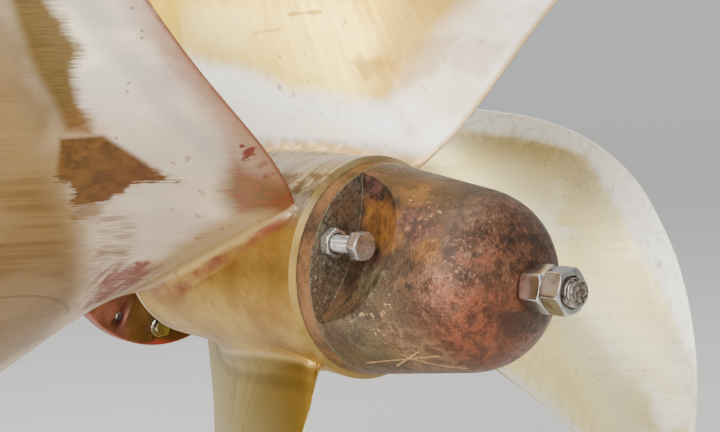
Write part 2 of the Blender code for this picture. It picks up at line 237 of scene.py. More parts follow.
def new_finish(name):
    """A material, its shader, and the Object coordinates split into x, y and z."""
    material = bpy.data.materials.new(name)
    material.use_nodes = True
    nodes = material.node_tree.nodes
    place = Value(nodes.new("ShaderNodeTexCoord").outputs["Object"])
    split = nodes.new("ShaderNodeSeparateXYZ")
    material.node_tree.links.new(place.socket, split.inputs["Vector"])
    x, y, z = (Value(socket) for socket in split.outputs)
    return material, nodes["Principled BSDF"], place, x, y, z


def set_shader(shader, sockets):
    """Links what changes over the surface, and sets what is the same all over it."""
    for name, value in sockets.items():
        if isinstance(value, Value):
            shader.id_data.links.new(value.socket, shader.inputs[name])
        else:
            shader.inputs[name].default_value = value


def eased(outline, radius, steps=EASE_STEPS):
    """A closed outline with each corner replaced by a short curve: the quadratic Bezier from
    radius before the corner to radius after it, with the corner as its middle point."""
    ahead = np.roll(outline, -1, axis=-2) - outline
    behind = np.roll(outline, 1, axis=-2) - outline
    ahead_length = np.linalg.norm(ahead, axis=-1, keepdims=True)
    behind_length = np.linalg.norm(behind, axis=-1, keepdims=True)
    end = outline + ahead * np.minimum(radius / ahead_length, 0.45)
    start = outline + behind * np.minimum(radius / behind_length, 0.45)
    share = np.linspace(0, 1, steps + 1)[:, None]
    corners = [part[..., :, None, :] for part in (start, outline, end)]
    curve = (corners[0] * (1 - share) ** 2 + corners[1] * 2 * share * (1 - share)
             + corners[2] * share ** 2)
    return curve.reshape(*outline.shape[:-2], -1, 2)


def skin(name, grid, closed_rows, sharp_angle=35):
    """A mesh from a grid of points. Each row is a ring, joined to the next row. The last row is
    joined to the first one where closed_rows is set, and otherwise the end rows are closed with
    a face. Points that fall together are merged, and the faces point outwards."""
    rows, columns = grid.shape[:2]
    index = np.arange(rows * columns).reshape(rows, columns)
    beside = np.roll(index, -1, axis=1)
    above = np.roll(index, -1, axis=0)
    corner = np.roll(beside, -1, axis=0)
    quads = np.stack([index, beside, corner, above], axis=2)
    if not closed_rows:
        quads = quads[:-1]
    faces = quads.reshape(-1, 4).tolist()
    if not closed_rows:
        faces += [index[0].tolist(), index[-1].tolist()]
    mesh = bpy.data.meshes.new(name)
    mesh.from_pydata(grid.reshape(-1, 3).tolist(), [], faces)
    shape = bmesh.new()
    shape.from_mesh(mesh)
    bmesh.ops.remove_doubles(shape, verts=shape.verts, dist=1e-6)
    bmesh.ops.recalc_face_normals(shape, faces=shape.faces)
    shape.to_mesh(mesh)
    shape.free()
    mesh.shade_smooth()
    mesh.set_sharp_from_angle(angle=math.radians(sharp_angle))
    piece = bpy.data.objects.new(name, mesh)
    bpy.context.scene.collection.objects.link(piece)
    return piece


def wrapped(name, x, radius, angle, centre, closed_rows, sharp_angle=35):
    """A skin from x and radius, with a row for each step along and a column for each angle
    about an axis along the shaft, which runs through centre, given as (y, z)."""
    x, radius, angle = np.broadcast_arrays(x, radius, angle)
    y, z = centre[0] + radius * np.cos(angle), centre[1] + radius * np.sin(angle)
    return skin(name, np.stack([x, y, z], axis=2), closed_rows, sharp_angle)


def turned(name, outline, segments, centre=(0.0, 0.0)):
    """A closed outline of (x, radius) points turned about that axis."""
    return wrapped(name, outline[:, :1], outline[:, 1:], round_angles(segments), centre, True)


def round_plug(name, start, end, radius, centre):
    """A plain round bar along the shaft that cuts a hole, and is removed afterwards."""
    outline = np.array([(start, 0), (start, radius), (end, radius), (end, 0)], float)
    return turned(name, outline, PLUG_SIDES, centre)


def unite(piece, other, operation):
    """Adds another shape to a piece, or cuts it out, and removes that shape."""
    step = piece.modifiers.new(other.name, "BOOLEAN")
    step.operation = operation
    step.solver = "EXACT"
    step.object = other
    bpy.context.view_layer.update()
    evaluated = piece.evaluated_get(bpy.context.evaluated_depsgraph_get())
    mesh = bpy.data.meshes.new_from_object(evaluated)
    old = piece.data
    piece.modifiers.clear()
    piece.data = mesh
    bpy.data.meshes.remove(old)
    bpy.data.objects.remove(other)


def middle(node):
    """Centre of a node's box, as (y, z)."""
    low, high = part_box(node)
    return (low.y + high.y) / 2, (low.z + high.z) / 2


def dress(piece, material, body, nodes):
    """Gives a piece its material and its place on a body, in the place of one or more nodes."""
    piece.data.materials.clear()
    piece.data.materials.append(material)
    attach(piece, body)
    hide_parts(*nodes)


housing_outline = np.array([
    (housing_low.x, HOUSING_BORE), (housing_high.x, HOUSING_BORE),
    (housing_high.x, NOSE_RADIUS), (FLANGE_BACK, NOSE_RADIUS), (FLANGE_BACK, FLANGE_RADIUS),
    (0, FLANGE_RADIUS), (0, SPIGOT_RADIUS), (housing_low.x, SPIGOT_RADIUS)])
housing = turned("flanged_housing", eased(housing_outline, CASTING_EDGE), HOUSING_SIDES)
bolt_circle = math.hypot(*middle("flange_bolt_1"))
holes = [(FLANGE_HOLE_RADIUS, middle(f"flange_bolt_{i}")) for i in BOLTS]
holes += [(JACKING_HOLE_RADIUS, (bolt_circle * math.cos(a), bolt_circle * math.sin(a)))
          for a in JACKING_HOLE_ANGLES]
for hole_radius, hole_centre in holes:
    unite(housing, round_plug("drill", -FLANGE_BACK, 2 * FLANGE_BACK, hole_radius, hole_centre),
          "DIFFERENCE")

gunmetal, shader, place, x, y, z = new_finish("weathered_gunmetal")
blotches = noise(place, 26, 4, 0.65)
grains = noise(place, 170, 3, 0.7)
olive = smooth(y + 0.03 * blotches, -0.042, -0.030)
edge_paint = smooth((y * y + z * z) ** 0.5, 0.1225, 0.1240)
splash = smooth(blotches * 0.03 - z, 0.130, 0.137)
base = layers(
    blend(blotches, 0.35, 0.65, (96, 52, 38), (134, 82, 64)),
    (olive, blend(blotches, 0.4, 0.7, (84, 54, 20), (120, 86, 40))),
    (smooth(grains, 0.54, 0.72) * 0.45, (84, 56, 42)),
    (edge_paint * 0.5, (160, 92, 74)),
    (splash, (140, 48, 36)))
set_shader(shader, {
    "Base Color": base, "Metallic": 0.45 - 0.40 * splash,
    "Roughness": 0.42 + 0.25 * grains, "Normal": bump(grains + 2 * blotches, 0.35, 0.0012)})
dress(housing, gunmetal, "bearing", ["stern_bearing_housing"])

# Bearing lining. A rubber sleeve moulded with water grooves along its bore, pressed into the
# housing. Sea water runs through the grooves and cools the shaft.

LINING_GROOVES = 10
LINING_GROOVE_DEPTH = 0.0035
GROOVE_EDGE = 0.35
GROOVE_RUN = 0.4
LINING_BORE = 0.0485
LINING_EDGE = 0.0008
LINING_SIDES = 240
lining_turn = round_angles(LINING_SIDES)
groove = np.clip((np.cos(lining_turn * LINING_GROOVES) - GROOVE_EDGE) / GROOVE_RUN, 0, 1)
lining_outline = np.array([(liner_low.x, liner_high.z), (liner_high.x, liner_high.z),
                           (liner_high.x, LINING_BORE), (liner_low.x, LINING_BORE)])
lining_outline = eased(lining_outline, LINING_EDGE)
lining_radius = lining_outline[:, 1:]
inside = np.clip((liner_high.z - lining_radius) / (liner_high.z - LINING_BORE), 0, 1)
lining_radius = lining_radius + LINING_GROOVE_DEPTH * groove * inside
lining = wrapped("grooved_lining", lining_outline[:, :1], lining_radius, lining_turn, (0, 0), True)
rubber, shader, place, x, y, z = new_finish("nitrile_rubber")
grain = noise(place, 300, 4, 0.6)
set_shader(shader, {
    "Base Color": tint(grain, (26, 26, 27), (52, 51, 50)),
    "Roughness": 0.5 + 0.25 * grain, "Normal": bump(grain, 0.25, 0.0004)})
dress(lining, rubber, "bearing", ["bearing_liner"])

# Flange bolts and washers. Stainless hexagon bolts on plain washers, screwed into the hull. The
# heads are rounded off by a chamfer on the outer face, and their threads are cut full length.

HEAD_ACROSS = 0.019
HEAD_HEIGHT = 0.0075
WASHER_SIDES = 64
BOLT_RADIUS = 0.006
BOLT_PITCH = 0.00175
BOLT_SIDES = 72
CHAMFER_SLOPE = math.tan(math.radians(30))
FACE_SHARE = 0.475
COUNTERSINK = 0.0012
STEEL_EDGE = 0.0004
HEX_SHARPNESS = 44
HEAD_DISH = 0.0002
HEAD_SHOULDER = 0.0005
HEAD_STEPS = np.array([0, 0.4, 0.75, 0.96, 1])
HEAD_FOOT = ((0.0006, 0), (0.0001, 0.0005), (0, 0.0009))
THREAD_DEPTH = 0.6
THREAD_SLOPE = 1.3
THREAD_CREST = 0.15
THREAD_DEEPEST = 1.1
THREAD_STEPS = 9
THREAD_SHARP_ANGLE = 58
END_CHAMFER = 0.001


def hexagon(across, angle, turn):
    """Radius of a hexagon at each angle, with its corners eased: the sum of a high power of the
    distance to each pair of flats, turned back into a radius."""
    flats = np.radians(np.arange(6) * 60)[:, None] + turn
    reach = np.clip(np.cos(angle - flats), 0, 1) / (across / 2)
    return (reach ** HEX_SHARPNESS).sum(axis=0) ** (-1 / HEX_SHARPNESS)


def thread_radius(radius, pitch, x, angle):
    """A screw thread: the radius falls from crest to root and back once a pitch, and the crest
    moves on by one pitch a turn."""
    phase = (x / pitch - angle / (2 * math.pi)) % 1
    fall = np.clip(np.abs(2 * phase - 1) * THREAD_SLOPE - THREAD_CREST, 0, 1)
    return radius - THREAD_DEPTH * pitch * fall


def rows(angle, *levels):
    """Rows of a grid. Each level is a number, or an array with a value for each angle."""
    return np.stack([np.broadcast_to(level, angle.shape) for level in levels])


def nut_rows(across, start, height, bore, angle, turn):
    """Outline of a nut at each angle, as rows of x and rows of radius. The flats end where the
    chamfer cone, at 30 degrees, cuts them."""
    flat = hexagon(across, angle, turn)
    face = across * FACE_SHARE
    drop = (flat - face) * CHAMFER_SLOPE
    sink = bore + COUNTERSINK
    x = rows(angle, COUNTERSINK, 0, 0, drop, height - drop, height, height, height - COUNTERSINK)
    radius = rows(angle, bore, sink, face, flat, flat, face, sink, bore)
    outline = eased(np.stack([start + x.T, radius.T], axis=2), STEEL_EDGE, 3)
    return outline[..., 0].T, outline[..., 1].T


def head_rows(across, start, height, angle, turn):
    """Outline of a bolt head from its dished end face, at start + height, to its seat."""
    flat = hexagon(across, angle, turn)
    face = across * FACE_SHARE
    drop = (flat - face) * CHAMFER_SLOPE
    share = HEAD_STEPS[:, None] * np.ones_like(angle)
    x = np.concatenate([
        height - HEAD_DISH * (1 - share), (height - drop * share)[1:],
        rows(angle, height - drop - HEAD_SHOULDER, *(rise for rise, inset in HEAD_FOOT))])
    radius = np.concatenate([
        face * share, (face + (flat - face) * share)[1:],
        rows(angle, flat, *(flat - inset for rise, inset in HEAD_FOOT))])
    return start + x, radius


def threaded_rows(radius, pitch, start, end, angle):
    """Rows of x and radius down a threaded shank from end to start, which is chamfered."""
    count = int(abs(end - start) / pitch * THREAD_STEPS)
    x = np.linspace(end, start, count)[:, None] * np.ones_like(angle)
    profile = thread_radius(radius, pitch, x, angle)
    return x, np.minimum(profile, radius - END_CHAMFER + np.abs(x - start))


def mark_threads(piece, centre, radius, pitch):
    """Keeps how deep each point lies under the crest of the thread, from 0 to 1. What lies
    deeper than any thread is an end face, and counts as 0."""
    points = np.zeros(len(piece.data.vertices) * 3)
    piece.data.vertices.foreach_get("co", points)
    x, y, z = points.reshape(-1, 3).T
    depth = (radius - np.hypot(y - centre[0], z - centre[1])) / (THREAD_DEPTH * pitch)
    mark = piece.data.attributes.new("thread_depth", "FLOAT", "POINT")
    depth = np.where(depth < THREAD_DEEPEST, np.clip(depth, 0, 1), 0)
    mark.data.foreach_set("value", depth)


def bolt(name, node, across, head_start, head_height, radius, pitch, turn):
    """A hexagon screw whose head is at the aft end of its node's box."""
    low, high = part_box(node)
    angle = round_angles(BOLT_SIDES)
    head = head_rows(across, head_start, head_height, angle, turn)
    shank = threaded_rows(radius, pitch, low.x, head_start, angle)
    tip = rows(angle, low.x), rows(angle, 0)
    along, reach = (np.concatenate(parts) for parts in zip(head, shank, tip))
    piece = wrapped(name, along, reach, angle, middle(node), False, THREAD_SHARP_ANGLE)
    mark_threads(piece, middle(node), radius, pitch)
    return piece


steel, shader, place, x, y, z = new_finish("worn_stainless")
scratch = noise(vector(x * 60, y * 700, z * 700), 1.0, 3, 0.6)
film = noise(place, 90, 3, 0.55)
rust = smooth(film + scratch * 0.6, 0.96, 1.04)
base = layers(
    blend(film, 0.42, 0.72, (176, 173, 168), (132, 125, 114)),
    (rust * 0.7, (110, 78, 50)),
    # The thread roots are darker.
    (smooth(attribute(place, "thread_depth"), 0.30, 0.75) * 0.85, (52, 46, 40)))
set_shader(shader, {
    "Base Color": base, "Metallic": 1.0,
    "Roughness": 0.10 + 0.12 * film + 0.10 * scratch + 0.3 * rust,
    "Normal": bump(scratch + film, 0.08, 0.0003)})

for i in BOLTS:
    low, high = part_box(f"flange_bolt_{i}")
    centre = middle(f"flange_bolt_{i}")
    turn = math.atan2(centre[1], centre[0])
    screw = bolt(f"flange_screw_{i}", f"flange_bolt_{i}", HEAD_ACROSS, high.x - HEAD_HEIGHT,
                 HEAD_HEIGHT, BOLT_RADIUS, BOLT_PITCH, turn)
    dress(screw, steel, "bearing", [f"flange_bolt_{i}"])
    low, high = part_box(f"flange_washer_{i}")
    ring = np.array([(low.x, BOLT_RADIUS + SEAT_GAP), (high.x, BOLT_RADIUS + SEAT_GAP),
                     (high.x, (high.y - low.y) / 2), (low.x, (high.y - low.y) / 2)])
    washer = turned(f"plain_washer_{i}", eased(ring, STEEL_EDGE), WASHER_SIDES,
                    middle(f"flange_washer_{i}"))
    dress(washer, steel, "bearing", [f"flange_washer_{i}"])

# Tail shaft. A turned stainless shaft that runs in the lining, with a taper that the propeller
# is drawn up on and a thread behind it for the nut. It is cut off here in front of the bearing.

shaft_low, shaft_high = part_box("tail_shaft")
SHAFT_RADIUS = shaft_high.z
HUB_FRONT, HUB_BACK = 0.100, 0.395
SHAFT_TAPER = 1 / 24
SHAFT_THREAD_RADIUS = 0.030
SHAFT_THREAD_PITCH = 0.004
STUD_SOCKET_RADIUS = 0.0123
STUD_SOCKET_DEPTH = 0.040
SHAFT_EDGE = 0.0012
INSIDE_BAR = 0.001
SHAFT_SIDES = 160
taper_end = SHAFT_RADIUS - SHAFT_TAPER * (HUB_BACK - HUB_FRONT)
shaft_turn = round_angles(SHAFT_SIDES)
bar = eased(np.array([
    (shaft_low.x, INSIDE_BAR), (shaft_low.x, SHAFT_RADIUS), (HUB_FRONT, SHAFT_RADIUS),
    (HUB_BACK - SEAT_GAP, taper_end), (HUB_BACK - SEAT_GAP, INSIDE_BAR)]), SHAFT_EDGE)
bar = np.concatenate([[(shaft_low.x, 0)], bar[EASE_STEPS:-EASE_STEPS - 1]])
thread = threaded_rows(SHAFT_THREAD_RADIUS, SHAFT_THREAD_PITCH, shaft_high.x, HUB_BACK, shaft_turn)
socket = np.array([(shaft_high.x, STUD_SOCKET_RADIUS),
                   (shaft_high.x - STUD_SOCKET_DEPTH, STUD_SOCKET_RADIUS),
                   (shaft_high.x - STUD_SOCKET_DEPTH, 0)])
shaft_x, shaft_r = (np.concatenate([rows(shaft_turn, *bar[:, k]), thread[k],
                                    rows(shaft_turn, *socket[:, k])]) for k in (0, 1))
shaft = wrapped("turned_shaft", shaft_x, shaft_r, shaft_turn, (0, 0), closed_rows=False)
shaft_steel, shader, place, x, y, z = new_finish("turned_steel")
rings = noise(vector(x * 40, y * 0.4, z * 0.4), 30, 4, 0.6)
set_shader(shader, {
    "Base Color": tint(noise(place, 14, 4), (186, 184, 178), (148, 142, 132)),
    "Metallic": 1.0, "Roughness": 0.22 + 0.2 * rings, "Normal": bump(rings, 0.15, 0.0003)})
dress(shaft, shaft_steel, "rotor", ["tail_shaft"])

# Propeller. One casting in manganese bronze, hub and four blades, bored to the taper of the
# shaft. The blades are ground and polished by hand along their length, which leaves long faint
# streaks, and they run into the hub in a wide fillet.

HUB_FRONT_RADIUS = 0.100
HUB_RADIUS = 0.105
HUB_FRONT_ROUND = 0.010
HUB_RIM_CHAMFER = 0.0043
CAP_FOOT_RADIUS = 0.0998
TIP_RADIUS = 0.610
BLADES = 4
CHORDS = (0.286, 0.718, 0.815, 0.892)
PITCH_ANGLES = tuple(math.radians(a) for a in (69.0, 56.3, 49.1, 32.0))
SKEW_ANGLES = tuple(math.radians(a) for a in (172.3, 183.1, 172.2, 179.9))
RAKES = (-0.1524, -0.2633, -0.2240, -0.0912)
TIP_ROUNDING = 5
TIP_FLAT = 0.050
BLADE_THINNING = 0.7
SWELLING_POWER = 1.5
AFT_SHARE = 0.15
ROOT_THICKNESS = 0.040
TIP_THICKNESS = 0.009
NOSE = 0.0025
LEADING_HALF_EDGE = 0.0025
TRAILING_HALF_EDGE = 0.0015
FACE_FILLET = 0.026
EDGE_FILLET = 0.004
FILLET_SUNK = 0.0005
FILLET_ROWS = 12
BLADE_ROWS = 56
BLADE_COLUMNS = 84
HUB_SIDES = 256
HUB_SHARP_ANGLE = 38
HUB_TAPER_MARGIN = 0.015
SETTLING_HEIGHT = 0.05
SUNK_ROWS = (-0.006, -0.002)
FILLET_CROWDING = 1.5
TIP_CROWDING = 1.9
NOSE_LENGTH = 2.2
LOCK_HOLE_RADIUS = 0.0083
LOCK_HOLE_DEPTH = 0.0283
DRILL_OVERRUN = 0.01


def cubic(values, share):
    """The cubic through four values spaced evenly from root to tip."""
    powers = np.vander(np.linspace(0, 1, 4), 4)
    return np.polyval(np.linalg.solve(powers, values), share)


def blade_law(radius):
    """Chord, pitch angle, skew angle, rake and greatest thickness of the blade at a radius."""
    span = np.clip((radius - HUB_RADIUS) / (TIP_RADIUS - HUB_RADIUS), 0, 1)
    rounding = np.sqrt(1 - span ** TIP_ROUNDING)
    chord = np.maximum(cubic(CHORDS, span) * rounding, TIP_FLAT)
    thickness = ROOT_THICKNESS - (ROOT_THICKNESS - TIP_THICKNESS) * span ** BLADE_THINNING
    return (chord, cubic(PITCH_ANGLES, span), cubic(SKEW_ANGLES, span),
            HUB_BACK + cubic(RAKES, span), thickness)


def hub_surface(x):
    """Radius of the hub's taper at x."""
    length = HUB_BACK - HUB_FRONT - HUB_TAPER_MARGIN
    share = np.clip((x - HUB_FRONT - HUB_FRONT_ROUND) / length, 0, 1)
    return HUB_FRONT_RADIUS + (HUB_RADIUS - HUB_FRONT_RADIUS) * share


def quarter_round(height, radius):
    """How far a fillet of that radius stands out at a height above the hub."""
    rise = np.clip((height + FILLET_SUNK) / radius, 0, 1)
    return radius * (1 - np.sqrt(1 - (1 - rise) ** 2))


def blade_grid(blade):
    """Sections of the blade, each an outline wrapped on a cylinder about the shaft: along the
    aft face from the leading to the trailing edge, and back along the forward face. A section's
    half thickness is the edge's, plus a share of the swelling in the middle, plus the fillet,
    and falls to nothing round the nose as a quarter ellipse."""
    fillet = FACE_FILLET * np.linspace(0, 1, FILLET_ROWS) ** FILLET_CROWDING
    low = np.concatenate([SUNK_ROWS, fillet])
    rest = 1 - (1 - np.linspace(0, 1, BLADE_ROWS)[1:]) ** TIP_CROWDING
    height = np.concatenate([low, FACE_FILLET + (TIP_RADIUS - HUB_RADIUS - FACE_FILLET) * rest])
    radius = (HUB_RADIUS + height)[:, None]
    chord, pitch, skew, rake, thickness = blade_law(radius)
    face = quarter_round(np.maximum(radius - HUB_RADIUS, 0), FACE_FILLET)
    edge = quarter_round(np.maximum(radius - HUB_RADIUS, 0), EDGE_FILLET)
    along = (1 - np.cos(np.linspace(0, math.pi, BLADE_COLUMNS))) / 2
    full = chord + 2 * (NOSE + edge)
    run = (along - 0.5) * full
    share = np.clip(run / chord + 0.5, 0, 1)
    bulge = np.sqrt(4 * share * (1 - share))
    half_edge = LEADING_HALF_EDGE + (TRAILING_HALF_EDGE - LEADING_HALF_EDGE) * share + edge
    from_end = np.minimum(along, 1 - along) * full / (NOSE_LENGTH * half_edge)
    nose = np.sqrt(1 - (1 - np.clip(from_end, 0, 1)) ** 2)
    swelling = (thickness - 2 * NOSE) * bulge ** SWELLING_POWER
    tip = np.clip((TIP_RADIUS - radius) / NOSE, 0, 1)
    tip_nose = np.sqrt(1 - (1 - tip) ** 2)
    aft = ((half_edge + AFT_SHARE * swelling) * nose + face * bulge) * tip_nose
    forward = -((half_edge + (1 - AFT_SHARE) * swelling) * nose + face * bulge) * tip_nose
    run = np.concatenate([run, run[:, -2:0:-1]], axis=1)
    off = np.concatenate([aft, forward[:, -2:0:-1]], axis=1)
    x = rake + run * np.sin(pitch) + off * np.cos(pitch)
    turn = skew - blade * 2 * math.pi / BLADES
    turn = turn + (-run * np.cos(pitch) + off * np.sin(pitch)) / radius
    near_hub = np.clip(1 - (radius - HUB_RADIUS) / SETTLING_HEIGHT, 0, 1)
    settled = radius - (HUB_RADIUS - hub_surface(x)) * near_hub
    return np.stack([x, settled * np.cos(turn), settled * np.sin(turn)], axis=2)


def bore_radius(x):
    return SHAFT_RADIUS + SEAT_GAP - SHAFT_TAPER * (x - HUB_FRONT)


hub_corner = np.linspace(0, math.pi / 2, 9)
hub_taper = np.linspace(HUB_FRONT + HUB_FRONT_ROUND, HUB_BACK - HUB_RIM_CHAMFER, 60)
hub_outline = np.concatenate([
    [(HUB_BACK, bore_radius(HUB_BACK)), (HUB_BACK, CAP_FOOT_RADIUS)],
    np.stack([hub_taper, hub_surface(hub_taper)], axis=1)[::-1],
    np.stack([HUB_FRONT + HUB_FRONT_ROUND * (1 - np.sin(hub_corner)),
              HUB_FRONT_RADIUS - HUB_FRONT_ROUND * (1 - np.cos(hub_corner))], axis=1)[1:],
    [(HUB_FRONT, bore_radius(HUB_FRONT))]])
propeller = turned("bronze_propeller", hub_outline, HUB_SIDES)
for blade in range(BLADES):
    unite(propeller, skin(f"blade_{blade + 1}", blade_grid(blade), closed_rows=False), "UNION")
for i in (1, 2):
    unite(propeller, round_plug("drill", HUB_BACK - LOCK_HOLE_DEPTH, HUB_BACK + DRILL_OVERRUN,
                                LOCK_HOLE_RADIUS, middle(f"lock_screw_{i}")), "DIFFERENCE")


def mark_blades(piece):
    """Keeps each point's place on its blade: the distances along the section to its leading
    and trailing edge and the blade's number, and apart from them the side that it lies on. The
    section's law is worked backwards, and the nearest blade is the one that counts."""
    count = len(piece.data.vertices)
    points = np.zeros(count * 3)
    piece.data.vertices.foreach_get("co", points)
    x, y, z = points.reshape(-1, 3).T
    radius = np.hypot(y, z)
    chord, pitch, skew, rake, thickness = blade_law(radius)
    best = np.full(count, np.inf)
    marks = np.zeros((count, 3))
    side = np.zeros(count)
    for blade in range(BLADES):
        turn = np.arctan2(z, y) - skew + blade * 2 * math.pi / BLADES
        arc = ((turn + math.pi) % (2 * math.pi) - math.pi) * radius
        run = (x - rake) * np.sin(pitch) - arc * np.cos(pitch)
        off = (x - rake) * np.cos(pitch) + arc * np.sin(pitch)
        near = np.abs(off) < best
        best = np.where(near, np.abs(off), best)
        place = np.stack([run + chord / 2 + NOSE, chord / 2 + NOSE - run,
                          np.full(count, blade)], axis=1)
        marks[near] = place[near]
        side = np.where(near, np.sign(off), side)
    mark = piece.data.attributes.new("blade_mark", "FLOAT_VECTOR", "POINT")
    mark.data.foreach_set("vector", marks.ravel())
    mark = piece.data.attributes.new("blade_side", "FLOAT", "POINT")
    mark.data.foreach_set("value", side)


mark_blades(propeller)
propeller.data.shade_smooth()
propeller.data.set_sharp_from_angle(angle=math.radians(HUB_SHARP_ANGLE))

bronze, shader, place, x, y, z = new_finish("polished_bronze")
radius = (y * y + z * z) ** 0.5
mark = attribute(place, "blade_mark", 1)
lead, trail, number = (mark.node("ShaderNodeSeparateXYZ", {}, {"Vector": mark}, i)
                       for i in range(3))
aft = smooth(attribute(place, "blade_side"), -0.2, 0.2)
quarter = number * (math.pi / 2)
cosine, sine = quarter.math("COSINE", quarter), quarter.math("SINE", quarter)
across = z * cosine + y * sine
outward = z * sine - y * cosine
on_blade = smooth(radius, 0.1055, 0.1125)


def is_blade(wanted):
    return number.math("COMPARE", number, wanted, 0.3)


# Grinding streaks run out along each blade, so they vary quickly across it and slowly along it.
strokes = noise(vector(across * 900, outward * 45, number * 9), 1.0, 2, 0.5)
streaks = noise(vector(across * 230, outward * 5, number * 9), 1.0, 3, 0.6)
clouds = noise(vector(across * 1.3, outward, x + number * 3), 5.5, 4, 0.55)
milk = noise(vector(across * 1.5, outward * 0.9, x * 1.2 + number * 7), 7.5, 3, 0.55)
fine = noise(place, 80, 4, 0.62)
combed_edge = (strokes - 0.5) * 0.018
ragged = combed_edge + (milk - 0.5) * 0.050 + (fine - 0.5) * 0.014
fine_edge = (fine - 0.5) * 0.01

# Every blade has a gold middle and a milky white film along its edges and above its root: partly a
# whitish film that the metal has, and partly painted reflection of a bright sky.
margin = lead.math("MINIMUM", lead * 0.5, (TIP_RADIUS - radius) * 1.2) + fine * 0.008
lead_band = fade(margin, 0.026, 0.036)
film = either(smooth(milk, 0.56, 0.70) * 0.7, fade(radius + clouds * 0.1, 0.17, 0.26) * 0.8,
              lead_band, fade(trail + milk * 0.02, 0.024, 0.044) * 0.7)
film = film * smooth(radius, 0.112, 0.126)
lead_line = smooth(margin, 0.022, 0.038) * fade(margin, 0.038, 0.068)
rings = outward * 60 + clouds * 9
rings = fade(abs(rings.math("FRACT", rings) - 0.5), 0.02, 0.09)
gold = layers(
    blend(clouds, 0.32, 0.66, (238, 218, 146), (255, 244, 196)),
    (smooth(streaks, 0.45, 0.75) * 0.35, (206, 182, 128)),
    # The white layer is partly the metal's own film and partly painted sky reflection.
    (film * 0.9, (244, 240, 232)),
    (lead_line * (0.3 + 0.4 * smooth(fine, 0.30, 0.6)) * 0.7, (158, 146, 124)),
    (lead_band * smooth(fine, 0.5, 0.62) * 0.4, (190, 182, 174)),
    (rings * smooth(milk, 0.48, 0.60) * 0.22, (186, 176, 120)))

# The front faces are a deeper gold, with soft grinding streaks, brown clouds and little film.
front = (1 - aft) * on_blade
front_gold = layers(
    blend(clouds, 0.34, 0.64, (186, 158, 84), (212, 188, 118)),
    (smooth(streaks, 0.42, 0.78) * 0.3, (160, 132, 70)),
    (smooth(milk, 0.50, 0.70) * 0.45, (224, 210, 168)),
    (smooth(1 - milk, 0.54, 0.66) * 0.35, (150, 118, 66)),
    (lead_band * 0.4, (218, 206, 174)))

# Top blade: deeper gold, white above the root and along one side, with brown stains.
top = partial(region, vector(x, z, 1))
white = either(
    top([(100, 217), (190, 192), (262, 161), (250, 138), (190, 155), (100, 182)], 24, ragged * 0.6),
    top([(235, 172), (310, 157), (345, 150), (378, 108), (340, 112), (230, 143)], 26,
        ragged * 0.6) * 0.9,
    top([(338, 150), (395, 300), (470, 300), (430, 110), (370, 105)], 34, ragged * 0.6)
    * (0.35 + 0.65 * smooth(clouds, 0.36, 0.56)),
    top([(85, 200), (200, 172), (310, 150), (400, 112), (360, 98), (90, 98)], 20, ragged * 0.6)
    * (0.55 + 0.35 * smooth(milk, 0.40, 0.60)))
stain = either(
    top([(224, 251.5), (256, 253.5), (256, 249), (224, 247.5)], 2, fine_edge) * 0.8,
    top([(196, 233), (220, 236), (220, 232), (196, 229)], 2, fine_edge) * 0.5,
    top([(296, 196), (326, 204), (335, 186), (305, 178)], 14, ragged) * 0.8,
    top([(350, 214), (372, 216), (366, 180), (342, 172)], 16, ragged) * 0.6,
    top([(378, 211), (412, 208), (409, 183), (386, 187)], 8, ragged) * 0.35,
    smooth(fine, 0.60, 0.68) * 0.5 * smooth(clouds, 0.50, 0.60))
foot = fade(radius + fine * 0.02, 0.124, 0.140)
top_gold = layers(
    blend(streaks, 0.36, 0.66, (224, 186, 66), (204, 162, 52)),
    (smooth(clouds, 0.40, 0.62) * 0.6, (240, 214, 118)),
    (smooth(x, 0.290, 0.335) * 0.85, (150, 120, 62)),
    (top([(130, 262), (190, 258), (196, 206), (130, 215)], 30) * 0.5, (244, 222, 150)),
    (white * 0.96, (255, 252, 246)),
    (stain * 0.85, (132, 98, 40)),
    (foot * smooth(milk + fine, 0.85, 1.1) * 0.75, (176, 144, 98)),
    (fade(trail, 0.003, 0.007) * 0.8, (180, 146, 92)),
    (fade(lead, 0.003, 0.012) * 0.4, (196, 164, 108)))

# Near blade: a milky middle, partly whitish film and partly painted reflection of a bright sky, with
# painted shade on its lower part; a tan outer part in two shades, a dark golden band, and a brown
# patch with sharp upper sides and combed lower ones.
near_spot = vector(y, z, 1)
near = partial(region, near_spot)
shade = fade(abs(trail - 0.024 - milk * 0.04), 0.002, 0.020) * smooth(radius, 0.16, 0.22)
sheen = near([(-620, 520), (-370, 275), (-328, 207), (-272, 132), (-240, 84), (-150, -30),
              (-200, -100), (-620, -100)], 30, ragged * 0.5)
tan = near([(-620, 300), (-350, 183), (-291, 116), (-176, -22), (-140, -100), (-300, -300),
            (-620, -200)], 40, ragged * 0.5)
tan_gold = layers(
    blend(streaks, 0.36, 0.66, (128, 96, 50), (152, 120, 72)),
    (smooth(clouds, 0.48, 0.64) * 0.6, (122, 90, 46)),
    (smooth(milk, 0.50, 0.66) * 0.6, (160, 132, 90)))
band = near([(-385, 275), (-342, 207), (-322, 177), (-284, 132), (-266, 131), (-273, 146),
             (-313, 207), (-350, 262)], 14, ragged * smooth(y + z * 0.62, -0.204, -0.180))
band_foot = near([(-292, 150), (-256, 136), (-254, 120), (-294, 118)], 16)
band_gold = layers(
    blend(strokes, 0.30, 0.66, (92, 68, 24), (112, 88, 38)),
    (smooth(clouds, 0.42, 0.62) * 0.5, (136, 104, 54)),
    (smooth(y, -0.300, -0.272) * 0.4, (144, 88, 56)))
lower_ragged = (combed_edge + (fine - 0.5) * 0.014) * smooth(0.100 - z, -0.008, 0.008)
patch = either(
    near([(-285, 127.5), (-257.5, 129.5), (-197, 94.5), (-183, 85), (-215, 87), (-268, 84)], 5,
         lower_ragged),
    near([(-268, 100), (-208, 100), (-226, 70), (-246, 68)], 4, lower_ragged),
    near([(-248, 72), (-222, 74), (-222, 54), (-240, 54)], 10, lower_ragged) * 0.65)
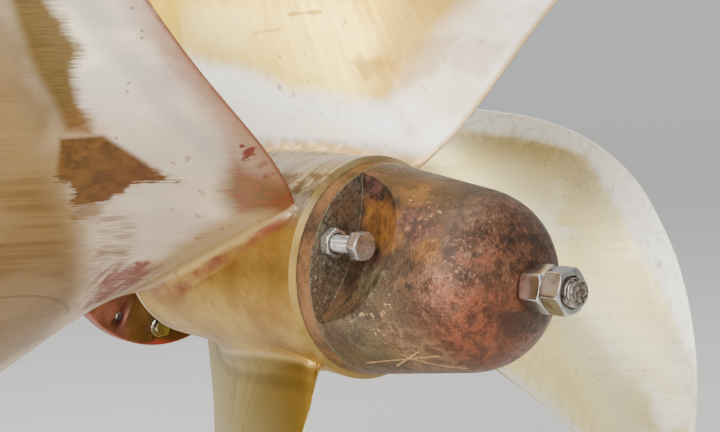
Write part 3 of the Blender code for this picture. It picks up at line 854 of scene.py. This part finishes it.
patch_brown = tint(smooth(y, -0.250, -0.215) * 0.45,
                   blend(fine, 0.36, 0.62, (82, 52, 14), (110, 74, 26)), (100, 56, 32))
combed = smooth(strokes, 0.42, 0.60) * near([(-224, 62), (-196, 60), (-156, 2), (-192, 0)], 12)
smudge = near([(-200, 24), (-172, 23), (-170, 13), (-196, 14)], 8, ragged * 0.5)

# A scribed arc, a worn strip along each edge, and ochre and rubbed red paint along the root.
arc = near_spot.node("ShaderNodeVectorMath", {"operation": "DISTANCE"},
                     {0: near_spot, 1: (-0.2406, -0.1456, 1)}, 1)
arc_line = fade(abs(arc - 0.1197), 0.0006, 0.0020) * smooth(z, -0.075, -0.055)
arc_line = arc_line * smooth(lead, 0.004, 0.02) * smooth(-y, 0.150, 0.165)
root_ochre = fade(radius + milk * 0.03, 0.138, 0.165)
root_ochre = either(root_ochre * smooth(z, -0.05, 0.0) * 0.85, fade(radius, 0.114, 0.122))
warm_edge = fade(trail + fine * 0.02, 0.012, 0.050) * fade(radius, 0.30, 0.46)
corner = near([(-170, 119), (-98, 74), (-98, 62), (-120, 60), (-152, 86)], 20, ragged * 0.6)
edge_brown = fade(trail + fine * 0.004, 0.0026, 0.0064)
wiped = noise(vector(x * 20, radius * 160, z * 12), 1.0, 3, 0.6)
red_specks = either(
    specks(near_spot, [(-154, 114), (-151, 109)], 5), specks(near_spot, [(-161, 119)], 3),
    specks(near_spot, [(-138, 102), (-127, 93)], 4.5) * 0.6) * smooth(fine, 0.40, 0.52)
red_root = either(
    near([(-182, -2), (-150, 6), (-122, -4), (-112, -30), (-140, -60)], 20, (wiped - 0.5) * 0.03)
    * smooth(wiped + strokes, 0.66, 1.06),
    near([(-153, 5), (-141, 6), (-130, -12), (-146, -14)], 6, (fine - 0.5) * 0.02))
red_line = (x - 0.208) * 0.475 - 0.029 - z
red_band = fade(abs(red_line + (wiped - 0.5) * 0.012), 0.002, 0.011) * smooth(-y, 0.06, 0.09)
red_band = red_band * fade(radius, 0.113, 0.120) * smooth(wiped, 0.26, 0.60)
red_band = red_band * smooth(x, 0.160, 0.200) * fade(x, 0.365, 0.385)
rough_zone = either(near([(-190, 96), (-160, 96), (-152, 76), (-176, 74)], 14),
                    near([(-178, 66), (-150, 66), (-110, 30), (-130, 20)], 20))
pits = either(specks(near_spot, [(-260, 169), (-258, 163), (-248, 127), (-268, 206), (-280, 221),
                                 (-266, 201), (-118, 41), (-130, -1)], 1.2),
              smooth(fine, 0.60, 0.66) * rough_zone * 0.6)
cream = layers(
    # The milky base is partly whitish film and partly painted sky reflection.
    blend(milk, 0.40, 0.60, (226, 208, 186), (255, 240, 208)),
    (smooth(clouds, 0.48, 0.64) * 0.5, (212, 186, 148)),
    (smooth(streaks, 0.48, 0.74) * 0.30, (206, 184, 156)),
    (smooth(1 - milk, 0.48, 0.62) * 0.40, (190, 180, 180)),
    # Painted shade: the milky middle darkens towards the bottom of the blade.
    (smooth(0.170 - z + milk * 0.04, 0.0, 0.075) * 0.6, (180, 158, 134)),
    (shade * 0.5, (158, 148, 138)),
    (sheen * 0.92, blend(clouds, 0.38, 0.62, (112, 86, 50), (148, 122, 82))),
    (tan * 0.95, tan_gold),
    (fade(lead + fine * 0.008, 0.012, 0.024) * 0.8, (184, 158, 130)),
    (fade(abs(lead - 0.012), 0.001, 0.003) * 0.35, (130, 108, 80)),
    (band_foot * 0.7, (170, 142, 106)),
    (band * 0.95, band_gold),
    (patch * 0.97, patch_brown),
    (combed * 0.6, (112, 82, 44)),
    (smudge * 0.75, (120, 88, 46)),
    (arc_line * 0.5, (92, 66, 34)),
    (root_ochre, (160, 130, 82)),
    (warm_edge * 0.85, (136, 92, 60)),
    (corner * 0.85, blend(fine, 0.42, 0.60, (114, 82, 44), (138, 76, 54))),
    (either(red_specks, red_root) * 0.9, (98, 20, 14)),
    (pits * 0.8, (96, 62, 44)),
    (edge_brown * (0.5 + 0.5 * smooth(fine, 0.34, 0.48)) * 0.85, (126, 72, 50)))

# Lower blade, which shows its front face: a greenish gold, darker towards its trailing edge, with
# painted shade across its root fillet.
# Painted shade in a patchy band across the root fillet.
low_root_shade = fade(abs(radius - 0.128), 0.002, 0.010) * smooth(clouds, 0.40, 0.55)
low_gold = layers(
    blend(streaks, 0.20, 0.90, (176, 154, 64), (152, 128, 52)),
    (smooth(x, 0.26, 0.36) * 0.6, (148, 122, 58)),
    (low_root_shade * 0.45, (112, 86, 44)),
    # Painted shade along the foot of the fillet.
    (fade(abs(radius - 0.113), 0.002, 0.010) * 0.6, (112, 86, 40)))
near_face = is_blade(0) * aft * on_blade
top_face = is_blade(1) * aft * on_blade
low_face = is_blade(3) * front
gold = layers(gold, (front, front_gold), (top_face, top_gold), (near_face, cream),
              (low_face, low_gold))

# Hub: ochre gold with soft clouds, a painted grey reflection of the sky on its crown with turning
# lines and dark reflected spots in it, a bright rim, a painted highlight on its rounded front edge,
# and red paint that has run down from the root of the near blade.
turning = noise(vector(x * 330, y * 9, z * 9), 1.0, 3, 0.6)
patches = noise(place, 17, 4, 0.6)
crown_reflection = smooth(z + patches * 0.04, 0.062, 0.098)
crown_dark_reflection = specks(near_spot, [(-65, 81), (-72, 75), (-58, 86)], 9)
smear = fade(abs(x - 0.165), 0.015, 0.075) * smooth(-y, 0.080, 0.098)
smear = smear * fade(z + x * 0.35, 0.030, 0.075) * smooth(z, -0.060, -0.030)
at_rim = fade(radius, 0.1056, 0.109)
hub_gold = layers(
    blend(patches, 0.34, 0.66, (150, 112, 47), (180, 146, 70)),
    (smooth(fine, 0.50, 0.66) * 0.35, (142, 100, 48)),
    (smooth(turning, 0.56, 0.74) * 0.18, (140, 100, 50)),
    # Painted reflection of the sky on the hub's crown, with the turning lines and painted dark
    # reflected spots in it.
    (crown_reflection * 0.85, (176, 175, 176)),
    (crown_reflection * smooth(turning, 0.42, 0.60) * 0.75, (110, 103, 94)),
    (crown_dark_reflection * smooth(fine, 0.38, 0.54) * 0.85, (92, 70, 54)),
    (smear * smooth(fine + patches, 0.80, 1.15) * 0.75, (136, 66, 46)))
gold = layers(
    gold,
    (1 - on_blade, hub_gold),
    (red_band * 0.9, (104, 36, 26)),
    (smooth(x + fine * 0.003, 0.3912, 0.3928) * at_rim * 0.85,
     blend(patches, 0.30, 0.70, (118, 96, 48), (146, 122, 68))),
    (smooth(x + fine * 0.002, 0.3952, 0.3962) * at_rim * 0.8, (120, 92, 56)),
    # Painted highlight on the hub's rounded front edge.
    (fade(x, 0.108, 0.114) * fade(radius, 0.108, 0.114) * 0.8, (250, 236, 196)),
    (smooth(fine, 0.66, 0.72) * 0.5, (120, 84, 52)))

# The milky film, partly real and partly painted reflection of a bright sky, scatters light as paint
# does, and the clean bronze mirrors it.
bare = either(sheen * 0.7, tan, band, patch, corner * 0.7)
film_and_reflection = (film * (1 - 0.7 * front) * (1 - either(near_face, top_face, low_face)) + white * top_face
          + (1 - bare) * near_face) * on_blade * smooth(radius, 0.113, 0.135)
dull = either(near_face * patch * 0.5, red_band, near_face * red_root)
set_shader(shader, {
    "Base Color": gold, "Metallic": 0.90 - 0.56 * film_and_reflection - 0.40 * dull,
    "Roughness": 0.30 + 0.14 * streaks + 0.10 * fine + 0.10 * film_and_reflection + 0.10 * dull,
    "Normal": bump(streaks * 0.6 + fine * 0.5, 0.12, 0.0010)})
dress(propeller, bronze, "rotor", ["propeller_casting"])

# Shaft nut. The big nut that holds the propeller on its taper, hidden inside the boss cap.

NUT_SIDES = 144
nut_turn = round_angles(NUT_SIDES)


def nut(name, node, across, bore, turn, finish, body):
    """A hexagon nut that fills its node's box along the shaft."""
    low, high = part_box(node)
    x, radius = nut_rows(across, low.x, high.x - low.x, bore, nut_turn, turn)
    made = wrapped(name, x, radius, nut_turn, middle(node), closed_rows=True)
    dress(made, finish, body, [node])


SHAFT_NUT_ACROSS = 0.070
SHAFT_NUT_TURN = math.radians(30)
nut("propeller_nut", "shaft_nut", SHAFT_NUT_ACROSS, SHAFT_THREAD_RADIUS + SEAT_GAP, SHAFT_NUT_TURN,
    shaft_steel, "rotor")

# Boss cap. A cast bronze cone with a domed end that streams the water off the hub. It is hollow
# over the shaft nut, and two scooped pockets give a spanner room to turn the lock screws. It
# was never polished, and has a copper-brown skin with green-grey patches and pitting.

cap_low, cap_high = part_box("boss_cap")
CAP_SHOULDER_RADIUS = 0.0797
CAP_SHOULDER = 0.1208
CAP_LENGTH = 0.1822
CAP_DOME_POWER = 2.5
CAP_SEAT_RADIUS = 0.024
CAP_LIP = 0.016
CAP_CAVITY_RADIUS = 0.043
CAP_CAVITY_DEPTH = 0.078
POCKET_FLOOR_RADIUS = 0.052
POCKET_SWEEP_RADIUS = 0.170
POCKET_LENGTH = 0.084
POCKET_RISE = 0.034
POCKET_ANGLES = (math.radians(157), math.radians(337))
CAP_SIDES = 192
POCKET_SIDES = 300
CAP_SHARP_ANGLE = 30


def cap_surface():
    """Outline of the cap: a straight taper, then a dome that is a superellipse in section and
    ends in the flat seat of the nut."""
    slope = (CAP_SHOULDER_RADIUS - CAP_FOOT_RADIUS) / CAP_SHOULDER
    taper = np.linspace(0, CAP_SHOULDER, 50)[:-1]
    reach = (1 - (CAP_SEAT_RADIUS / CAP_SHOULDER_RADIUS) ** CAP_DOME_POWER)
    reach = reach ** (1 / CAP_DOME_POWER)
    share = np.sin(np.linspace(0, math.pi / 2, 48)) * reach
    height = CAP_SHOULDER + (CAP_LENGTH - CAP_SHOULDER) * share
    fall = (1 - share ** CAP_DOME_POWER) ** (1 / CAP_DOME_POWER)
    dome = (CAP_SHOULDER_RADIUS + slope * (height - CAP_SHOULDER)) * fall
    return np.stack([cap_low.x + np.concatenate([taper, height]),
                     np.concatenate([CAP_FOOT_RADIUS + slope * taper, dome])], axis=1)


cap_outside = cap_surface()
cavity_end = cap_low.x + CAP_CAVITY_DEPTH
cap_outline = np.concatenate([
    cap_outside, [(cap_high.x, STUD_SOCKET_RADIUS), (cavity_end, STUD_SOCKET_RADIUS),
                  (cavity_end, CAP_CAVITY_RADIUS), (cap_low.x, CAP_CAVITY_RADIUS)]])
cap = turned("boss_cap_casting", cap_outline, CAP_SIDES)
pocket_share = np.linspace(0, 1, 40)
pocket_start = cap_low.x + CAP_LIP
for i, angle in enumerate(POCKET_ANGLES):
    sweep = np.stack([pocket_start + pocket_share * POCKET_LENGTH,
                      POCKET_SWEEP_RADIUS - POCKET_RISE * pocket_share ** 2], axis=1)
    sweep = np.concatenate([[(pocket_start, 0)], sweep, [(pocket_start + POCKET_LENGTH, 0)]])
    reach = POCKET_FLOOR_RADIUS + POCKET_SWEEP_RADIUS
    centre = (reach * math.cos(angle), reach * math.sin(angle))
    unite(cap, turned("pocket_sweep", sweep, POCKET_SIDES, centre), "DIFFERENCE")
    unite(cap, round_plug("drill", cap_low.x - DRILL_OVERRUN, pocket_start + DRILL_OVERRUN,
                          LOCK_HOLE_RADIUS, middle(f"lock_screw_{i + 1}")), "DIFFERENCE")
cap.data.shade_smooth()
cap.data.set_sharp_from_angle(angle=math.radians(CAP_SHARP_ANGLE))

patina, shader, place, x, y, z = new_finish("cast_bronze_patina")
side_spot = vector(x, z, 1)
side = partial(region, side_spot)
seen = smooth(-y, 0.0, 0.02)
blotches = noise(place, 26, 5, 0.66, 0.3)
mottle = noise(place, 110, 4, 0.7)
speckle = noise(place, 250, 3, 0.7)
grit = noise(place, 480, 2, 0.7)
drift = noise(place, 11, 3, 0.6)
frayed = (mottle - 0.5) * 0.030 + (blotches - 0.5) * 0.030

# The foot half is a dark brown skin, and the dome is worn to a paler copper.
copper = smooth(x - abs(z) * 0.35 + (drift - 0.5) * 0.14, 0.492, 0.545)
brown = tint(smooth(drift, 0.46, 0.60) * 0.6,
             blend(blotches, 0.36, 0.64, (42, 29, 19), (108, 79, 52)), (86, 68, 43))
pink = tint(smooth(drift, 0.50, 0.62) * 0.35,
            blend(blotches, 0.34, 0.62, (58, 38, 27), (112, 76, 54)), (92, 50, 34))

# Stains seen from the port side: rust, maroon, green-grey, the red of the worn end, and tan.
rust = either(
    side([(419, 70), (460, 70), (490, 62), (500, 47), (492, 26), (434, 26), (419, 46)], 10, frayed),
    side([(508, 50), (531, 50), (540, 27), (515, 24)], 10, frayed) * 0.7,
    side([(463, 80), (490, 80), (506, 64), (481, 62)], 10, frayed) * 0.6)
maroon = either(
    side([(484, 64), (508, 67), (532, 45), (511, 38), (490, 50)], 8, frayed),
    side([(414, 94), (438, 90), (447, 68), (418, 66)], 10, frayed) * 0.8,
    side([(436, 20), (462, 26), (470, 6), (445, 0)], 12, frayed) * 0.6)
green = either(
    side([(430, 8), (489, 16), (492, -8), (446, -14)], 10, frayed),
    side([(430, -30), (470, -18), (476, -66), (440, -75)], 16, frayed) * 0.6)
worn_red = either(
    side([(545, 2), (580, 2), (574, -60), (546, -72), (534, -46)], 26, frayed) * 0.85,
    side([(545, 30), (566, 28), (566, 20), (545, 22)], 6, frayed) * 0.7)
tan = side([(486, -24), (526, -40), (538, -72), (480, -78)], 24, frayed)
dark_spots = either(specks(side_spot, [(571, 40), (567, 52), (560, 30)], 3.5),
                    smooth(blotches, 0.62, 0.68) * smooth(x + z * 0.4, 0.552, 0.574) * 0.5)
drip = side([(572, -16), (581, -18), (575, -40), (568, -40)], 4, (mottle - 0.5) * 0.02)

# The lip in front of the pocket is a brown-orange, and its aft face a pitted green-grey.
lip_face = smooth(x, 0.4095, 0.4105) * fade(x, 0.4118, 0.4135)
silver = smooth(grit + mottle * 0.4, 0.84, 0.92) * lip_face * fade(z, 0.016, 0.030)

# Scratches and flecks where the bare metal shines.
flecks = either(
    side([(446, -20), (484, -16), (478, -44), (441, -48)], 10, frayed),
    side([(486, -6), (503, -6), (503, -18), (486, -18)], 6, frayed),
    side([(484, 78), (522, 60), (516, 50), (482, 70)], 8, frayed) * 0.8)
bright = either(smooth(mottle + grit * 0.5, 0.96, 1.01) * 0.4,
                flecks * smooth(speckle * 0.7 + mottle, 0.96, 1.02) * 0.8)
SCRATCHES = (((436, -75), (524, -56)), ((483, -59), (503, -66)), ((503, -66), (533, -69)),
             ((465, -75), (506, -54)))
SCRATCH_HALF_WIDTH = 0.4
for start, end in SCRATCHES:
    along = np.subtract(end, start)
    offset = np.array([-along[1], along[0]]) / np.hypot(*along) * SCRATCH_HALF_WIDTH
    corners = [np.add(start, offset), np.add(end, offset), np.subtract(end, offset),
               np.subtract(start, offset)]
    bright = either(bright, side(corners, 0.8, (grit - 0.5) * 0.0016))
base = layers(
    tint(copper, brown, pink),
    # Painted shade: the upper side of the cap, short of the dome's end, is darker.
    (smooth(z, 0.0, 0.06) * fade(x, 0.515, 0.550) * 0.55, (38, 27, 21)),
    (smooth(mottle, 0.50, 0.62) * 0.65, (62, 47, 32)),
    (smooth(speckle, 0.50, 0.66) * 0.55, (44, 32, 24)),
    (smooth(1 - speckle, 0.52, 0.68) * copper * 0.35, (158, 112, 90)),
    (smooth(blotches + mottle, 1.08, 1.20) * (0.85 - 0.40 * copper), (36, 25, 20)),
    (rust * seen * 0.9, blend(mottle, 0.40, 0.60, (142, 92, 38), (98, 62, 28))),
    (maroon * seen * 0.9, blend(mottle, 0.42, 0.58, (58, 38, 34), (98, 62, 50))),
    (green * seen * 0.75, blend(mottle, 0.42, 0.58, (66, 58, 40), (108, 98, 72))),
    (worn_red * seen * 0.8, blend(mottle, 0.42, 0.58, (70, 40, 27), (128, 70, 46))),
    (tan * seen * 0.6, blend(mottle, 0.42, 0.58, (84, 60, 42), (142, 108, 80))),
    (either(dark_spots * smooth(mottle, 0.36, 0.52), drip * 0.8) * 0.85, (50, 38, 30)),
    (fade(x, 0.4085, 0.4105) * smooth(blotches, 0.30, 0.60) * 0.8, (124, 84, 48)),
    (lip_face * 0.85, blend(speckle + mottle * 0.5, 0.60, 0.85, (58, 50, 39), (104, 94, 76))),
    (lip_face * smooth(blotches, 0.44, 0.60) * 0.55, (92, 66, 44)),
    (silver * 0.7, (186, 176, 158)),
    (bright * seen * 0.85, (214, 172, 108)),
    (fade(x + mottle * 0.004, 0.3972, 0.4000) * 0.8, (58, 42, 30)))
set_shader(shader, {
    "Base Color": base, "Metallic": 0.42 + 0.30 * copper + 0.25 * bright,
    "Roughness": 0.28 + 0.42 * mottle - 0.06 * copper,
    "Normal": bump(grit * 0.5 + mottle + blotches, 0.60, 0.0018)})
dress(cap, patina, "rotor", ["boss_cap"])

# Lock screws and their jam nuts. Each stainless screw runs through the lip of the cap into the
# hub, so that the cap cannot turn, and its nut holds it there with the head standing clear.

LOCK_ACROSS = 0.024
LOCK_HEAD_HEIGHT = 0.011
LOCK_RADIUS = 0.008
LOCK_PITCH = 0.002
LOCK_TURN = math.radians(30)
NUT_TURN = math.radians(3)
satin_steel, shader, place, x, y, z = new_finish("satin_stainless")
scratch = noise(place, 900, 2, 0.5)
film = noise(place, 110, 3, 0.5)
# The thread roots are darker.
thread_root_darkening = smooth(attribute(place, "thread_depth"), 0.30, 0.80)
base = tint(thread_root_darkening * 0.8, blend(film, 0.40, 0.68, (196, 193, 188), (160, 153, 142)),
            (58, 51, 44))
set_shader(shader, {
    "Base Color": base, "Metallic": 0.9, "Roughness": 0.18 + 0.10 * film + 0.08 * scratch,
    "Normal": bump(scratch + film, 0.05, 0.0002)})
for i in (1, 2):
    low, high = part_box(f"lock_screw_{i}")
    screw = bolt(f"lock_screw_{i}_threaded", f"lock_screw_{i}", LOCK_ACROSS,
                 high.x - LOCK_HEAD_HEIGHT, LOCK_HEAD_HEIGHT, LOCK_RADIUS, LOCK_PITCH, LOCK_TURN)
    dress(screw, satin_steel, "rotor", [f"lock_screw_{i}"])
    nut(f"jam_nut_{i}", f"lock_nut_{i}", LOCK_ACROSS, LOCK_RADIUS + SEAT_GAP, NUT_TURN, satin_steel,
        "rotor")

# Cap stud and its two nuts. The stud is screwed into the end of the shaft, the inner nut pulls
# the cap up on it, and the outer nut locks the inner one. The stud's end is worn and dark.

CAP_NUT_ACROSS = 0.036
STUD_RADIUS = 0.012
STUD_PITCH = 0.003
STUD_DISH = 0.0004
STUD_SIDES = 96
INNER_TURN = math.radians(50)
OUTER_TURN = math.radians(38)
stud_low, stud_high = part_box("cap_stud")
stud_turn = round_angles(STUD_SIDES)
thread = threaded_rows(STUD_RADIUS, STUD_PITCH, stud_high.x, stud_low.x, stud_turn)
dish = np.linspace(1, 0, 6)[:, None] * np.ones_like(stud_turn)
stud_x = np.concatenate([rows(stud_turn, stud_low.x), thread[0],
                         stud_high.x - STUD_DISH * (1 - dish)])
stud_r = np.concatenate([rows(stud_turn, 0), thread[1], (STUD_RADIUS - END_CHAMFER) * dish])
stud = wrapped("threaded_stud", stud_x, stud_r, stud_turn, (0, 0), False, THREAD_SHARP_ANGLE)
mark_threads(stud, (0, 0), STUD_RADIUS, STUD_PITCH)
stud_steel, shader, place, x, y, z = new_finish("stud_steel")
wear = noise(place, 240, 3, 0.6, 0.4)
worn_rim = smooth((y * y + z * z) ** 0.5, STUD_RADIUS - 0.0034, STUD_RADIUS - 0.0022)
# The thread roots are darker, short of the stud's end.
thread_root_darkening = smooth(attribute(place, "thread_depth"), 0.40, 0.80)
thread_root_darkening = thread_root_darkening * fade(x, stud_high.x - 0.0008, stud_high.x - 0.0002)
base = layers(
    blend(wear, 0.40, 0.66, (74, 58, 47), (168, 156, 144)),
    (worn_rim * smooth(wear, 0.36, 0.54) * 0.8, (160, 150, 140)),
    (thread_root_darkening * 0.85, (48, 38, 32)))
set_shader(shader, {"Base Color": base, "Metallic": 0.9, "Roughness": 0.24 + 0.3 * wear,
                    "Normal": bump(wear, 0.35, 0.0005)})
dress(stud, stud_steel, "rotor", ["cap_stud"])
nut("inner_cap_nut", "cap_nut_inner", CAP_NUT_ACROSS, STUD_RADIUS + SEAT_GAP, INNER_TURN,
    steel, "rotor")
nut("outer_cap_nut", "cap_nut_outer", CAP_NUT_ACROSS, STUD_RADIUS + SEAT_GAP, OUTER_TURN,
    steel, "rotor")

# Studio. A pale floor under the propeller, a pale room with one darker wall for the steel to
# mirror, and soft lamps: over the viewer's left shoulder, overhead, low down on the left where
# the near blade faces, and a tall strip on the right that draws a thin light down the cap.

FLOOR_GAP = 0.02
FLOOR_LEVEL = cad_bounds[0].z - FLOOR_GAP
FLOOR_SIZE = 60
floor_corners = FLOOR_SIZE * np.array([(-1, -1, 0), (1, -1, 0), (1, 1, 0), (-1, 1, 0)], float)
floor_corners[:, 2] = FLOOR_LEVEL
floor_mesh = bpy.data.meshes.new("studio_floor")
floor_mesh.from_pydata(floor_corners.tolist(), [], [(0, 1, 2, 3)])
floor = bpy.data.objects.new("studio_floor", floor_mesh)
bpy.context.scene.collection.objects.link(floor)
floor_paint, shader, place, x, y, z = new_finish("pale_floor")
set_shader(shader, {"Base Color": colour(228, 226, 222), "Roughness": 0.85})
floor_mesh.materials.append(floor_paint)

world = bpy.data.worlds.new("pale_room")
world.use_nodes = True
background = world.node_tree.nodes["Background"]
towards = Value(world.node_tree.nodes.new("ShaderNodeTexCoord").outputs["Generated"])
height = towards.node("ShaderNodeSeparateXYZ", {}, {"Vector": towards}, 2)
DARK_SIDE = (0.76, -0.65, 0.0)
facing = towards.node("ShaderNodeVectorMath", {"operation": "DOT_PRODUCT"},
                      {0: towards, 1: DARK_SIDE}, output=1)
dark_wall = smooth(facing, 0.84, 0.96) * fade(height, 0.12, 0.34)
walls = blend(height, 0.0, 0.5, (226, 228, 230), (250, 251, 252))
world.node_tree.links.new(tint(dark_wall, walls, (120, 116, 112)).socket,
                          background.inputs["Color"])
background.inputs["Strength"].default_value = 0.72
bpy.context.scene.world = world


def soft_lamp(name, position, target, size, power, tall=None):
    """An area lamp that faces a target, square or of its own height."""
    lamp = bpy.data.lights.new(name, "AREA")
    lamp.shape = "RECTANGLE"
    lamp.size = size
    lamp.size_y = tall or size
    lamp.energy = power
    placed = bpy.data.objects.new(name, lamp)
    bpy.context.scene.collection.objects.link(placed)
    back = np.array(position, float) - np.array(target, float)
    back /= np.linalg.norm(back)
    side = np.cross((0, 0, 1), back)
    side /= np.linalg.norm(side)
    stand = np.stack([side, np.cross(back, side), back], axis=1)
    matrix = np.eye(4)
    matrix[:3, :3] = stand
    matrix[:3, 3] = position
    placed.matrix_world = Matrix(matrix)


soft_lamp("key_lamp", (1.6, -2.6, 2.2), (0.3, 0, 0), 1.6, 150)
soft_lamp("top_lamp", (0.2, 0.2, 3.0), (0.2, 0, 0), 2.2, 70)
soft_lamp("low_lamp", (1.2, -2.2, -0.1), (0.3, -0.2, 0.05), 0.9, 55)
soft_lamp("strip_lamp", (3.3, -0.9, 0.85), (0.5, 0, 0), 0.3, 26, 1.5)

# Camera. The lens and the place are those that put the seam of the cap, the nuts and the edges
# of the blades where the photograph has them. It looks a little down and is tilted a degree.

CAMERA_PLACE = np.array([1.1394, -0.6985, 0.1380])
CAMERA_YAW = math.radians(-47.78)
CAMERA_PITCH = math.radians(-4.99)
CAMERA_ROLL = math.radians(-1.02)
FOCAL_PIXELS = 1100
IMAGE_WIDTH = 720
SENSOR_WIDTH = 36
forward = np.array([math.sin(CAMERA_YAW) * math.cos(CAMERA_PITCH),
                    math.cos(CAMERA_YAW) * math.cos(CAMERA_PITCH), math.sin(CAMERA_PITCH)])
right = np.cross(forward, (0, 0, 1))
right /= np.linalg.norm(right)
up = np.cross(right, forward)
rolled_right = right * math.cos(CAMERA_ROLL) + up * math.sin(CAMERA_ROLL)
rolled_up = up * math.cos(CAMERA_ROLL) - right * math.sin(CAMERA_ROLL)
lens = bpy.data.cameras.new("view")
lens.sensor_width = SENSOR_WIDTH
lens.lens = FOCAL_PIXELS * SENSOR_WIDTH / IMAGE_WIDTH
lens.clip_start = 0.01
camera = bpy.data.objects.new("view", lens)
bpy.context.scene.collection.objects.link(camera)
stance = np.eye(4)
stance[:3, :3] = np.stack([rolled_right, rolled_up, -forward], axis=1)
stance[:3, 3] = CAMERA_PLACE
camera.matrix_world = Matrix(stance)
bpy.context.scene.camera = camera
